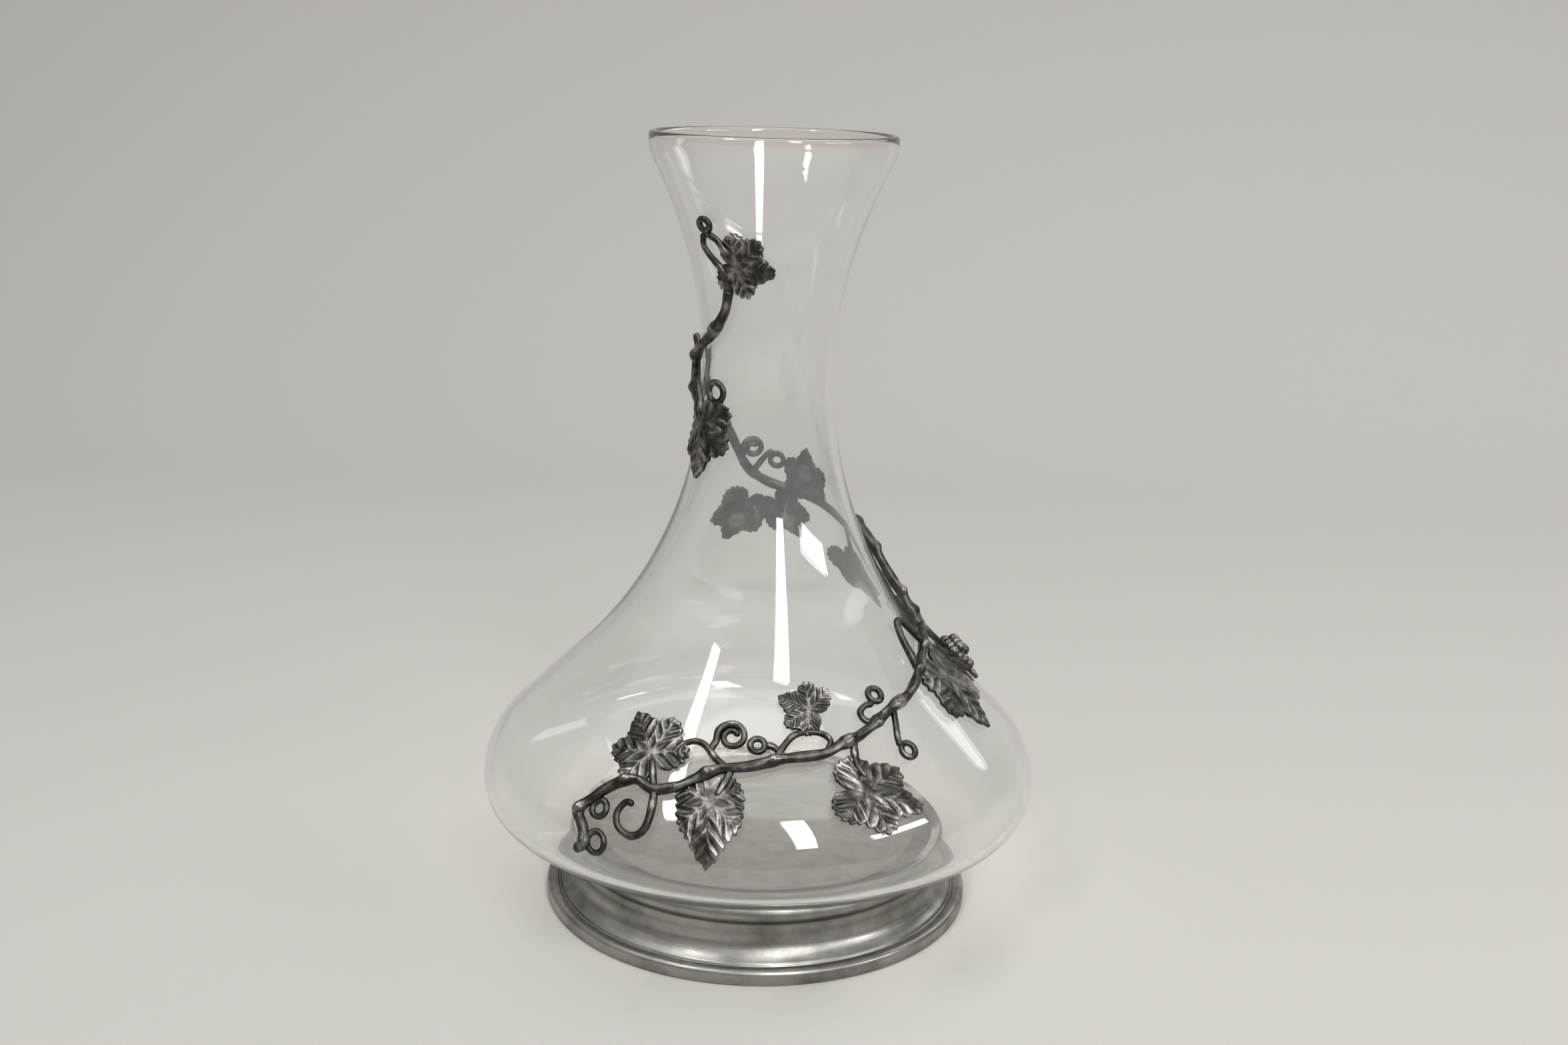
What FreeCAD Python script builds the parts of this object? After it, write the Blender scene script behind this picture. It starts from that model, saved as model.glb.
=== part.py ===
import FreeCAD, Part
import math
import os
import Sketcher

from FreeCAD import Placement, Rotation, Vector

# Glass carafe on a turned pewter foot, with a cast grapevine wound once round the glass.
# Millimetres, +Z up, origin at the middle of the foot's underside, front towards -Y.

doc = FreeCAD.newDocument("carafe")

# Driving sizes
SIZES = [
    # Glass: rim, neck, belly and underside
    ("carafe_height", "245"),
    ("rim_radius", "37.7"),
    ("lip_arc_share", "0.46"),
    ("neck_radius", "20.5"),
    ("neck_height_share", "0.64532"),
    ("shoulder_slope_share", "0.846"),
    ("shoulder_arc", "25"),
    ("belly_radius", "89"),
    ("belly_height", "42"),
    ("under_arc", "11"),
    ("glass_wall", "2.6"),
    ("glass_floor", "5"),
    ("base_step", "8"),
    ("punt_rise", "3"),
    # Foot: where the glass sits, the flange, the incised line, the cove and the roll
    ("seat_radius", "60"),
    ("seat_height", "21.2"),
    ("cement_gap", "0.4"),
    ("flange_reach", "9"),
    ("foot_wall", "2.2"),
    ("seat_land", "1"),
    ("flange_height", "4.6"),
    ("flange_round", "1.6"),
    ("tread_width", "3.6"),
    ("groove_width", "0.9"),
    ("groove_depth", "0.8"),
    ("waist_step", "0.4"),
    ("waist_height_share", "0.8"),
    ("cove_bulge", "1.7"),
    ("bead_height", "5.4"),
    ("bead_bulge", "1.8"),
    ("plate_thickness", "1.6"),
    # Vine: gap to the glass, leaf, and the other pieces as shares of the leaf
    ("vine_gap", "0.3"),
    ("leaf_thickness", "2"),
    ("leaf_rise_share", "0.12316"),
    ("leaf_girth_share", "0.2809"),
    ("leaf_reach_share", "0.36"),
    ("vine_run_share", "0.24"),
    ("stem_radius_share", "0.06"),
    ("stalk_radius_share", "0.044"),
    ("tendril_radius_share", "0.036"),
    ("ring_radius_share", "0.092"),
    ("spiral_radius_share", "0.184"),
    ("grape_radius_share", "0.084"),
    ("glue_radius_share", "0.12"),
]

# Sizes worked out from the driving ones: the joints of the tangent arcs and where the pieces meet
DERIVED = [
    ("glass_rise", "Sizes.carafe_height - Sizes.belly_height"),
    ("neck_height", "Sizes.belly_height + Sizes.neck_height_share * Derived.glass_rise"),
    ("glass_base_radius", "Sizes.seat_radius - Sizes.base_step"),
    ("foot_radius", "Sizes.seat_radius + Sizes.flange_reach"),
    ("foot_top_radius", "Sizes.seat_radius + Sizes.seat_land"),
    ("waist_radius", "Sizes.seat_radius + Sizes.waist_step"),
    ("rim_round_height", "Sizes.carafe_height - Sizes.glass_wall / 2"),
    ("lip_arc", "Sizes.lip_arc_share * Sizes.rim_radius"),
    ("lip_turn", "2 * atan((Sizes.rim_radius - Sizes.neck_radius)"
     " / (Derived.rim_round_height - Derived.neck_height))"),
    ("neck_rise_arc", "(Derived.rim_round_height - Derived.neck_height) / sin(Derived.lip_turn)"
     " - Derived.lip_arc"),
    ("lip_foot_radius", "Sizes.rim_radius - Derived.lip_arc * (1 - cos(Derived.lip_turn))"),
    ("lip_foot_height", "Derived.rim_round_height - Derived.lip_arc * sin(Derived.lip_turn)"),
    ("neck_drop", "Derived.neck_height - Sizes.belly_height"),
    ("belly_reach", "Sizes.belly_radius - Sizes.neck_radius"),
    ("shoulder_slope", "2 * Sizes.shoulder_slope_share * atan(Derived.belly_reach / Derived.neck_drop)"),
    ("neck_sweep_arc", "(Derived.neck_drop * sin(Derived.shoulder_slope)"
     " - Derived.belly_reach * cos(Derived.shoulder_slope))"
     " / (1 - cos(Derived.shoulder_slope)) - Sizes.shoulder_arc"),
    ("shoulder_top_radius", "Sizes.neck_radius"
     " + Derived.neck_sweep_arc * (1 - cos(Derived.shoulder_slope))"),
    ("shoulder_top_height", "Derived.neck_height - Derived.neck_sweep_arc * sin(Derived.shoulder_slope)"),
    ("shoulder_foot_radius", "Sizes.belly_radius - Sizes.shoulder_arc * (1 - cos(Derived.shoulder_slope))"),
    ("shoulder_foot_height", "Sizes.belly_height + Sizes.shoulder_arc * sin(Derived.shoulder_slope)"),
    ("seat_out", "Sizes.seat_radius - Sizes.belly_radius + Sizes.under_arc"),
    ("seat_drop", "Sizes.belly_height - Sizes.seat_height"),
    ("under_slope", "atan2(Derived.seat_drop; Derived.seat_out)"
     " - acos(Sizes.under_arc / sqrt(Derived.seat_out ^ 2 + Derived.seat_drop ^ 2))"),
    ("under_foot_radius", "Sizes.belly_radius - Sizes.under_arc * (1 - cos(Derived.under_slope))"),
    ("under_foot_height", "Sizes.belly_height - Sizes.under_arc * sin(Derived.under_slope)"),
    ("base_height", "Sizes.seat_height"
     " - (Sizes.seat_radius - Derived.glass_base_radius) / tan(Derived.under_slope)"),
    ("floor_height", "Derived.base_height + Sizes.glass_floor"),
    ("floor_radius", "Sizes.seat_radius - Sizes.glass_wall * cos(Derived.under_slope)"
     " + (Derived.floor_height - Sizes.seat_height - Sizes.glass_wall * sin(Derived.under_slope))"
     " * tan(Derived.under_slope)"),
    ("bore_radius", "Derived.waist_radius - Sizes.foot_wall"),
    ("cement_rise", "Sizes.cement_gap / sin(Derived.under_slope)"),
    ("foot_top_height", "Sizes.seat_height - Derived.cement_rise"
     " + (Derived.foot_top_radius - Sizes.seat_radius) / tan(Derived.under_slope)"),
    ("foot_lip_height", "Sizes.seat_height - Derived.cement_rise"
     " + (Derived.bore_radius - Sizes.seat_radius) / tan(Derived.under_slope)"),
    ("groove_outer", "Derived.foot_radius - Sizes.tread_width"),
    ("groove_inner", "Derived.groove_outer - Sizes.groove_width"),
    ("groove_height", "Sizes.flange_height - Sizes.groove_depth"),
    ("bead_foot_height", "Derived.foot_top_height - Sizes.bead_height"),
    ("waist_height", "Sizes.flange_height"
     " + Sizes.waist_height_share * (Derived.bead_foot_height - Sizes.flange_height)"),
    ("hollow_radius", "Derived.foot_radius - Sizes.foot_wall"),
    ("hollow_height", "Sizes.flange_height - Sizes.foot_wall"),
    ("plate_top", "Derived.base_height - Sizes.cement_gap"),
    ("leaf_face", "Sizes.vine_gap + Sizes.leaf_thickness"),
    ("leaf_length", "min(Sizes.leaf_rise_share * Derived.glass_rise;"
     " Sizes.leaf_girth_share * Sizes.belly_radius)"),
    ("leaf_reach", "Sizes.leaf_reach_share * Derived.leaf_length"),
    ("vine_run", "Sizes.vine_run_share * Derived.leaf_length"),
    ("stem_radius", "Sizes.stem_radius_share * Derived.leaf_length"),
    ("stalk_radius", "Sizes.stalk_radius_share * Derived.leaf_length"),
    ("tendril_radius", "Sizes.tendril_radius_share * Derived.leaf_length"),
    ("ring_radius", "Sizes.ring_radius_share * Derived.leaf_length"),
    ("spiral_radius", "Sizes.spiral_radius_share * Derived.leaf_length"),
    ("grape_radius", "Sizes.grape_radius_share * Derived.leaf_length"),
    ("glue_radius", "Sizes.glue_radius_share * Derived.leaf_length"),
]

# Vine places: each is a turn round the axis in degrees, from the front towards the right side,
# and a share of the way up from the belly to the rim.
STEM_SHARES = {
    "tail_stem": [(-34, 0.0188), (-32.5, 0.0309), (-33.7, 0.049), (-35.5, 0.0647), (-33.5, 0.0816),
                  (-30, 0.1015), (-26, 0.1105), (-21.2, 0.1045), (-16.5, 0.1105)],
    "front_stem": [(-16.5, 0.1105), (-9, 0.1322), (-1, 0.1389), (7, 0.1473), (16, 0.1497), (21, 0.1576),
                   (27, 0.1648)],
    "side_stem": [(27, 0.1648), (32, 0.1733), (40, 0.1866), (47.5, 0.1926), (56, 0.2059), (66, 0.2228),
                  (76, 0.2348), (86, 0.2457)],
    "rising_stem": [(86, 0.2457), (93, 0.2759), (97, 0.3121), (102, 0.3483), (112, 0.3784), (124, 0.3966),
                    (136, 0.4086)],
    "back_stem": [(136, 0.4086), (150, 0.4183), (165, 0.4243), (180, 0.4364), (194, 0.4605), (205, 0.4991),
                  (214, 0.5317), (228, 0.5607)],
    "neck_stem": [(228, 0.5607), (245, 0.5776), (262, 0.6017), (271, 0.6319), (277, 0.6584), (291, 0.6838),
                  (312, 0.7103), (326, 0.7453), (331, 0.7779)],
}
STALK_SHARES = {
    "left_leaf_stalk": [(-21.4, 0.1057), (-23, 0.1214), (-24.5, 0.1359)],
    "down_leaf_stalk": [(-5.4, 0.1353), (-6.6, 0.1202), (-8, 0.1057)],
    "right_leaf_stalk": [(25, 0.1624), (24, 0.1467), (23.8, 0.1322), (25, 0.1202)],
    "neck_leaf_stalk": [(272, 0.6364), (283, 0.6271), (293, 0.6041), (298, 0.58)],
    "bunch_stalk": [(84.5, 0.2439), (91, 0.23), (95.5, 0.2107), (99, 0.1902)],
}
TENDRIL_SHARES = {
    "tail_curl": [(-21.2, 0.1045), (-20.4, 0.084), (-20.8, 0.0634), (-23, 0.052), (-26, 0.058),
                  (-27.3, 0.0731), (-26.3, 0.0864), (-24.4, 0.0858)],
    "hook_tendril": [(-6, 0.1347), (-9.3, 0.1449), (-12.4, 0.1576), (-15.3, 0.1612), (-17.9, 0.1564),
                     (-18.3, 0.1467), (-16.7, 0.1407)],
    "link_tendril": [(7, 0.1473), (5.6, 0.1552), (4, 0.1606), (2.2, 0.1612)],
    "arch_tendril": [(4.4, 0.1446), (6.4, 0.1588), (9.4, 0.1715), (13, 0.1751),
                     (16.8, 0.1727), (18.9, 0.1642), (17.5, 0.1522)],
    "right_tendril": [(40.8, 0.1872), (39.2, 0.1709), (37.6, 0.1564), (36.9, 0.1449)],
    "crook_tendril": [(33, 0.1751), (30.2, 0.1805), (29.8, 0.1896), (32.2, 0.1956), (35, 0.1962)],
    "side_loop": [(60, 0.2126), (61.6, 0.2348), (63.2, 0.2578), (66.5, 0.2747),
                  (70.5, 0.2698), (73.5, 0.2529), (75.5, 0.2342)],
    "back_tendril": [(191, 0.4545), (187, 0.469), (181, 0.4865), (175.5, 0.4919)],
    "top_tendril": [(331, 0.7779), (327.5, 0.8093), (319, 0.8298), (315, 0.8455), (318, 0.8624)],
    "top_strand": [(333.5, 0.831), (327.5, 0.8516), (321, 0.8624)],
    "neck_bud": [(277, 0.6584), (272.5, 0.6802), (270.5, 0.7007)],
}
# Spiral tendrils: middle, start angle in degrees and number of turns, with shares of the spiral radius
SPIRAL_SHARES = {
    "spiral_tendril": (-6.2, 0.1697, 200, -1.55, 1.0, 0.3),
    "back_spiral": (192, 0.4979, -50, 1.6, 0.8, 0.25),
}
SPIRAL_STEPS = 9
# Closed rings: place and share of the ring radius
RING_SHARES = {
    "tail_ring": (-30.3, 0.0333, 1.05),
    "tail_small_ring": (-31.4, 0.0731, 0.85),
    "front_ring": (0.3, 0.1618, 0.9),
    "right_ring": (38.7, 0.1395, 1.0),
    "crook_ring": (36.9, 0.2053, 0.95),
    "back_ring": (173, 0.4774, 1.0),
    "neck_ring": (314.5, 0.6234, 1.3),
    "top_ring": (319.5, 0.8751, 0.8),
}
# Leaves: place of the middle, lean from upright in degrees (towards the right seen from outside),
# share of the leaf length, share of the full width
LEAF_SHARES = {
    "left_leaf": (-28.2, 0.1546, -40, 0.78, 0.95),
    "down_leaf": (-8.8, 0.0779, 176, 0.92, 0.74),
    "middle_leaf": (12.8, 0.1986, 4, 0.54, 1.1),
    "right_leaf": (27.8, 0.0972, 115, 0.95, 0.72),
    "side_leaf": (71.8, 0.1636, 180, 1.02, 0.88),
    "side_bud_leaf": (101.5, 0.2529, 66, 0.6, 0.92),
    "bunch_leaf": (108, 0.1419, 165, 0.62, 0.9),
    "back_low_leaf": (127, 0.2819, -165, 0.9, 0.85),
    "back_right_leaf": (147, 0.4635, -8, 0.7, 0.8),
    "back_middle_leaf": (166.5, 0.3724, -150, 0.7, 0.78),
    "back_left_leaf": (198, 0.37, 160, 0.74, 0.8),
    "lower_neck_leaf": (301, 0.5414, 174, 0.84, 0.9),
    "upper_neck_leaf": (347, 0.8129, 102, 0.58, 1.08),
}
# Half of a lobed vine leaf, from the stalk's notch to the tip: each row is a corner or the crown and
# end of a rounded lobe, in shares of the leaf's length across and along, counted from its middle.
LEAF_NOTCH_SHARES = (0.0, -0.4)
LEAF_LOBE_SHARES = [
    ((0.24, -0.52), (0.4, -0.34)),
    ((0.58, -0.18), (0.38, 0.0)),
    ((0.47, 0.2), (0.25, 0.26)),
]
LEAF_TIP_SHARES = (0.0, 0.5)
# Grapes: across, up and number of layers out, in grape radii
GRAPE_SHARES = [
    (-2.4, 1.6, 0), (-0.8, 1.7, 0), (0.8, 1.7, 0), (2.4, 1.6, 0),
    (-1.6, 0.2, 0), (0, 0.2, 0), (1.6, 0.2, 0),
    (-0.8, -1.2, 0), (0.8, -1.2, 0), (0, -2.6, 0),
    (-1.6, 1.15, 1), (0, 1.2, 1), (1.6, 1.15, 1), (0, -0.35, 1),
]
GRAPE_PLACE_SHARES = (101, 0.1697)
GRAPE_LAYER_SHARE = 1.1
# Arcs at the corners of a route take this share of the shorter run beside them
CORNER_SHARE = 0.45
STRAIGHT_DEGREES = 0.3

# What each vine piece is cut back from, so that the pieces meet face to face
HOSTS = {
    "front_stem": ["tail_stem"],
    "side_stem": ["front_stem"],
    "rising_stem": ["side_stem"],
    "back_stem": ["rising_stem"],
    "neck_stem": ["back_stem"],
    "left_leaf_stalk": ["tail_stem"],
    "down_leaf_stalk": ["front_stem"],
    "right_leaf_stalk": ["front_stem"],
    "neck_leaf_stalk": ["neck_stem"],
    "bunch_stalk": ["side_stem", "rising_stem"],
    "tail_curl": ["tail_stem", "left_leaf_stalk"],
    "hook_tendril": ["front_stem", "down_leaf_stalk"],
    "link_tendril": ["front_stem"],
    "arch_tendril": ["front_stem", "link_tendril"],
    "right_tendril": ["side_stem"],
    "crook_tendril": ["side_stem"],
    "side_loop": ["side_stem"],
    "back_tendril": ["back_stem"],
    "top_tendril": ["neck_stem"],
    "top_strand": ["top_tendril"],
    "neck_bud": ["neck_stem"],
    "spiral_tendril": ["hook_tendril"],
    "back_spiral": ["back_stem"],
    "tail_ring": ["tail_stem"],
    "tail_small_ring": ["tail_stem", "tail_curl"],
    "front_ring": ["link_tendril", "spiral_tendril"],
    "right_ring": ["right_tendril"],
    "crook_ring": ["crook_tendril"],
    "back_ring": ["back_tendril"],
    "neck_ring": ["neck_leaf_stalk"],
    "top_ring": ["top_tendril", "top_strand"],
    "grape_bunch": ["bunch_stalk"],
    "left_leaf": ["left_leaf_stalk", "hook_tendril"],
    "down_leaf": ["down_leaf_stalk", "front_stem"],
    "middle_leaf": ["arch_tendril"],
    "right_leaf": ["right_leaf_stalk", "right_ring"],
    "side_leaf": ["side_stem"],
    "side_bud_leaf": ["rising_stem"],
    "bunch_leaf": ["grape_bunch"],
    "back_right_leaf": ["rising_stem", "back_stem", "back_ring"],
    "back_middle_leaf": ["back_stem"],
    "back_left_leaf": ["back_stem"],
    "lower_neck_leaf": ["neck_leaf_stalk", "neck_ring"],
    "upper_neck_leaf": ["neck_stem", "top_tendril", "top_strand"],
}


def fill_sheet(name, rows, prefix):
    """A sheet with one named cell per row."""
    sheet = doc.addObject("Spreadsheet::Sheet", name)
    for number, (alias, content) in enumerate(rows, start=1):
        sheet.set("A%d" % number, alias)
        sheet.set("B%d" % number, prefix + content)
        sheet.setAlias("B%d" % number, alias)
        doc.recompute()
    return sheet


sizes_sheet = fill_sheet("Sizes", SIZES, "")
derived_sheet = fill_sheet("Derived", DERIVED, "=")


def evaluate(text):
    """The number that an expression on the sheets gives, degrees for an angle."""
    result = sizes_sheet.evalExpression(text)
    return float(getattr(result, "Value", result))


size = {alias: evaluate("Sizes." + alias) for alias, content in SIZES}
size.update({alias: evaluate("Derived." + alias) for alias, content in DERIVED})


# Turned pieces: closed outlines of straight runs and arcs, revolved about the axis
LEFT = 1
RIGHT = -1


def outline_arc(start, end, radius, side):
    """The shorter arc between two corners of an outline that bulges to the given side of the way along."""
    across, along = end[0] - start[0], end[1] - start[1]
    chord = math.hypot(across, along)
    reach = side * math.sqrt(max(radius * radius - chord * chord / 4, 0)) / chord
    middle = (start[0] + end[0]) / 2 + along * reach, (start[1] + end[1]) / 2 - across * reach
    first, last = (end, start) if side == LEFT else (start, end)
    begin = math.atan2(first[1] - middle[1], first[0] - middle[0])
    stop = math.atan2(last[1] - middle[1], last[0] - middle[0])
    if stop < begin:
        stop += 2 * math.pi
    return Part.ArcOfCircle(Part.Circle(Vector(*middle), Vector(0, 0, 1), radius), begin, stop)


def bind(sketch, kind, name, places, text):
    """A named constraint of the sketch that follows an expression on the sheets."""
    row = sketch.addConstraint(Sketcher.Constraint(kind, *places, evaluate(text)))
    sketch.renameConstraint(row, name)
    sketch.setExpression("Constraints." + name, text)


def turned_body(name, corners, arcs):
    """A body revolved from an outline: corners are (across, up) expressions, and arcs give the radius
    and side of the edge that starts at a corner."""
    body = doc.addObject("PartDesign::Body", name)
    plane = next(item for item in body.Origin.OriginFeatures if item.Role == "XZ_Plane")
    sketch = body.newObject("Sketcher::SketchObject", name + "_outline")
    sketch.AttachmentSupport = [(plane, "")]
    sketch.MapMode = "FlatFace"
    spots = [(evaluate(across), evaluate(up)) for across, up in corners]
    first_end = []
    for index, start in enumerate(spots):
        end = spots[(index + 1) % len(spots)]
        if index in arcs:
            sketch.addGeometry(outline_arc(start, end, evaluate(arcs[index][0]), arcs[index][1]))
            first_end.append(2 if arcs[index][1] == LEFT else 1)
        else:
            sketch.addGeometry(Part.LineSegment(Vector(*start), Vector(*end)))
            first_end.append(1)
    for index, (across, up) in enumerate(corners):
        before = index - 1 if index else len(corners) - 1
        last_end = 3 - first_end[before]
        sketch.addConstraint(Sketcher.Constraint("Coincident", before, last_end, index, first_end[index]))
        if across == "0":
            sketch.addConstraint(Sketcher.Constraint("PointOnObject", index, first_end[index], -2))
        else:
            bind(sketch, "DistanceX", "across_%d" % index, (-1, 1, index, first_end[index]), across)
        if up == "0":
            sketch.addConstraint(Sketcher.Constraint("PointOnObject", index, first_end[index], -1))
        else:
            bind(sketch, "DistanceY", "up_%d" % index, (-1, 1, index, first_end[index]), up)
        if index in arcs:
            bind(sketch, "Radius", "round_%d" % index, (index,), arcs[index][0])
    turn = body.newObject("PartDesign::Revolution", name + "_turn")
    turn.Profile = sketch
    turn.ReferenceAxis = (sketch, ["V_Axis"])
    turn.Angle = 360
    sketch.Visibility = False
    doc.recompute()
    return body


def bulge_radius(start, end, bulge):
    """The radius of an arc between two corners that stands out by the bulge, as an expression."""
    chord = "((%s) - (%s)) ^ 2 + ((%s) - (%s)) ^ 2" % (end[0], start[0], end[1], start[1])
    return "(%s) / (8 * %s) + %s / 2" % (chord, bulge, bulge)


# The outside of the glass, as joints of its arcs from the rim down: radius, height and the angle by
# which the outward direction there tips up or down
OUTSIDE = [
    ("Sizes.rim_radius", "Derived.rim_round_height", "0"),
    ("Derived.lip_foot_radius", "Derived.lip_foot_height", "-Derived.lip_turn"),
    ("Sizes.neck_radius", "Derived.neck_height", "0"),
    ("Derived.shoulder_top_radius", "Derived.shoulder_top_height", "Derived.shoulder_slope"),
    ("Derived.shoulder_foot_radius", "Derived.shoulder_foot_height", "Derived.shoulder_slope"),
    ("Sizes.belly_radius", "Sizes.belly_height", "0"),
    ("Derived.under_foot_radius", "Derived.under_foot_height", "-Derived.under_slope"),
    ("Sizes.seat_radius", "Sizes.seat_height", "-Derived.under_slope"),
]
# Radius of the arc after each joint, and whether it swells out or draws in
OUTSIDE_ARCS = {
    0: ("Derived.lip_arc", LEFT),
    1: ("Derived.neck_rise_arc", RIGHT),
    2: ("Derived.neck_sweep_arc", RIGHT),
    4: ("Sizes.shoulder_arc", LEFT),
    5: ("Sizes.under_arc", LEFT),
}


def skin_corners(offset):
    """Corners of the glass's outside moved out by an offset, from the rim down."""
    corners = []
    for across, up, tilt in OUTSIDE:
        corners.append((
            "%s + (%s) * cos(%s)" % (across, offset, tilt),
            "%s + (%s) * sin(%s)" % (up, offset, tilt),
        ))
    return corners


def skin_arcs(offset, first, climbing):
    """Arcs of the glass's outside moved out by an offset, for corners listed from the rim down, or up
    from the underside, starting at corner number first."""
    arcs = {}
    last = len(OUTSIDE) - 1
    for index, (radius, side) in OUTSIDE_ARCS.items():
        row = first + (last - 1 - index if climbing else index)
        arcs[row] = ("%s + %d * (%s)" % (radius, side, offset), -side if climbing else side)
    return arcs


def skin_body(name, inner, outer):
    """A skin round the glass between two offsets from its outside, from below the lip down."""
    corners = skin_corners(outer)[1:] + skin_corners(inner)[:0:-1]
    arcs = skin_arcs(outer, -1, False)
    arcs.update(skin_arcs(inner, len(OUTSIDE) - 1, True))
    lip_rows = (-1, len(corners) - 1)
    return turned_body(name, corners, {row: arc for row, arc in arcs.items() if row not in lip_rows})


def glass_body():
    """The blown vessel: belly, neck and flared mouth with a rounded rim, on a thick floor with a punt."""
    outside = skin_corners("0")
    inside = skin_corners("-Sizes.glass_wall")
    corners = outside[:-1] + [
        ("Derived.glass_base_radius", "Derived.base_height"),
        ("0", "Derived.base_height + Sizes.punt_rise"),
        ("0", "Derived.floor_height + Sizes.punt_rise"),
        ("Derived.floor_radius", "Derived.floor_height"),
    ]
    floor_row = len(corners) - 1
    corners += inside[:-1][::-1]
    corners.append(("Sizes.rim_radius - Sizes.glass_wall / 2", "Sizes.carafe_height"))
    arcs = skin_arcs("0", 0, False)
    arcs.update(skin_arcs("-Sizes.glass_wall", floor_row, True))
    for row in (len(corners) - 2, len(corners) - 1):
        arcs[row] = ("Sizes.glass_wall / 2", LEFT)
    return turned_body("glass_body", corners, arcs)


def foot_ring():
    """The turned foot: round-edged flange, incised line, cove, roll and a slanted seat, hollow below."""
    corners = [
        ("Derived.foot_radius", "0"),
        ("Derived.foot_radius", "Sizes.flange_height - Sizes.flange_round"),
        ("Derived.foot_radius - Sizes.flange_round", "Sizes.flange_height"),
        ("Derived.groove_outer", "Sizes.flange_height"),
        ("Derived.groove_outer", "Derived.groove_height"),
        ("Derived.groove_inner", "Derived.groove_height"),
        ("Derived.groove_inner", "Sizes.flange_height"),
        ("Derived.waist_radius", "Derived.waist_height"),
        ("Derived.waist_radius", "Derived.bead_foot_height"),
        ("Derived.foot_top_radius", "Derived.foot_top_height"),
        ("Derived.bore_radius", "Derived.foot_lip_height"),
        ("Derived.bore_radius", "Derived.hollow_height"),
        ("Derived.hollow_radius", "Derived.hollow_height"),
        ("Derived.hollow_radius", "0"),
    ]
    arcs = {
        1: ("Sizes.flange_round", RIGHT),
        6: (bulge_radius(corners[6], corners[7], "Sizes.cove_bulge"), LEFT),
        8: (bulge_radius(corners[8], corners[9], "Sizes.bead_bulge"), RIGHT),
    }
    return turned_body("foot_ring", corners, arcs)


def foot_plate():
    """The plate soldered inside the foot, just under the glass."""
    low = "Derived.plate_top - Sizes.plate_thickness"
    corners = [
        ("0", low),
        ("Derived.bore_radius", low),
        ("Derived.bore_radius", "Derived.plate_top"),
        ("0", "Derived.plate_top"),
    ]
    return turned_body("foot_plate", corners, {})


def seat_cement():
    """The ring of cement between the slanted seat and the underside of the glass."""
    corners = [
        ("Derived.bore_radius", "Derived.foot_lip_height"),
        ("Derived.foot_top_radius", "Derived.foot_top_height"),
        ("Derived.foot_top_radius", "Derived.foot_top_height + Derived.cement_rise"),
        ("Derived.bore_radius", "Derived.foot_lip_height + Derived.cement_rise"),
    ]
    return turned_body("seat_cement", corners, {})


# Places on the glass
def glass_at(height):
    """Radius of the glass's outside at a height, and the tilt of its outward direction in radians."""
    if height >= size["lip_foot_height"]:
        tilt = -math.asin((size["rim_round_height"] - height) / size["lip_arc"])
        return size["rim_radius"] - size["lip_arc"] * (1 - math.cos(tilt)), tilt
    if height >= size["neck_height"]:
        tilt = -math.asin((height - size["neck_height"]) / size["neck_rise_arc"])
        return size["neck_radius"] + size["neck_rise_arc"] * (1 - math.cos(tilt)), tilt
    if height >= size["shoulder_top_height"]:
        tilt = math.asin((size["neck_height"] - height) / size["neck_sweep_arc"])
        return size["neck_radius"] + size["neck_sweep_arc"] * (1 - math.cos(tilt)), tilt
    if height >= size["shoulder_foot_height"]:
        tilt = math.radians(size["shoulder_slope"])
        return size["shoulder_top_radius"] + (size["shoulder_top_height"] - height) * math.tan(tilt), tilt
    arc = size["shoulder_arc"] if height >= size["belly_height"] else size["under_arc"]
    tilt = math.asin((height - size["belly_height"]) / arc)
    return size["belly_radius"] - arc * (1 - math.cos(tilt)), tilt


def risen(rise_share):
    """The height of a place at a share of the way up from the belly to the rim."""
    return size["belly_height"] + rise_share * size["glass_rise"]


def on_glass(turn, rise_share, lift):
    """The point that stands out from the glass by a lift, at a turn and a share of the rise."""
    height = risen(rise_share)
    radius, tilt = glass_at(height)
    reach = radius + lift * math.cos(tilt)
    angle = math.radians(turn)
    return Vector(reach * math.sin(angle), -reach * math.cos(angle), height + lift * math.sin(tilt))


def glass_axes(turn, rise_share):
    """Directions at a place on the glass: sideways, up along the glass, and straight out of it."""
    tilt = glass_at(risen(rise_share))[1]
    angle = math.radians(turn)
    sideways = Vector(math.cos(angle), math.sin(angle), 0)
    out = Vector(math.cos(tilt) * math.sin(angle), -math.cos(tilt) * math.cos(angle), math.sin(tilt))
    return sideways, out.cross(sideways), out


def beside(turn, rise_share, across, along):
    """The turn and rise share of a place at a distance across and along the glass from another."""
    radius, tilt = glass_at(risen(rise_share))
    return turn + math.degrees(across / radius), rise_share + along * math.cos(tilt) / size["glass_rise"]


# Vine: wires, rings, leaves and grapes laid on the glass
pieces = {}


def keep(name, item):
    """Names a finished sub-part."""
    item.Label = name
    pieces[name] = item
    return item


def fine_route(places):
    """The places of a route with more between them, so that no run is longer than the vine's run."""
    fine = [places[0]]
    for start, end in zip(places, places[1:]):
        gap = on_glass(*end, 0).distanceToPoint(on_glass(*start, 0))
        count = max(1, math.ceil(gap / size["vine_run"]))
        for step in range(1, count + 1):
            share = step / count
            fine.append(tuple(a + (b - a) * share for a, b in zip(start, end)))
    return fine


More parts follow.
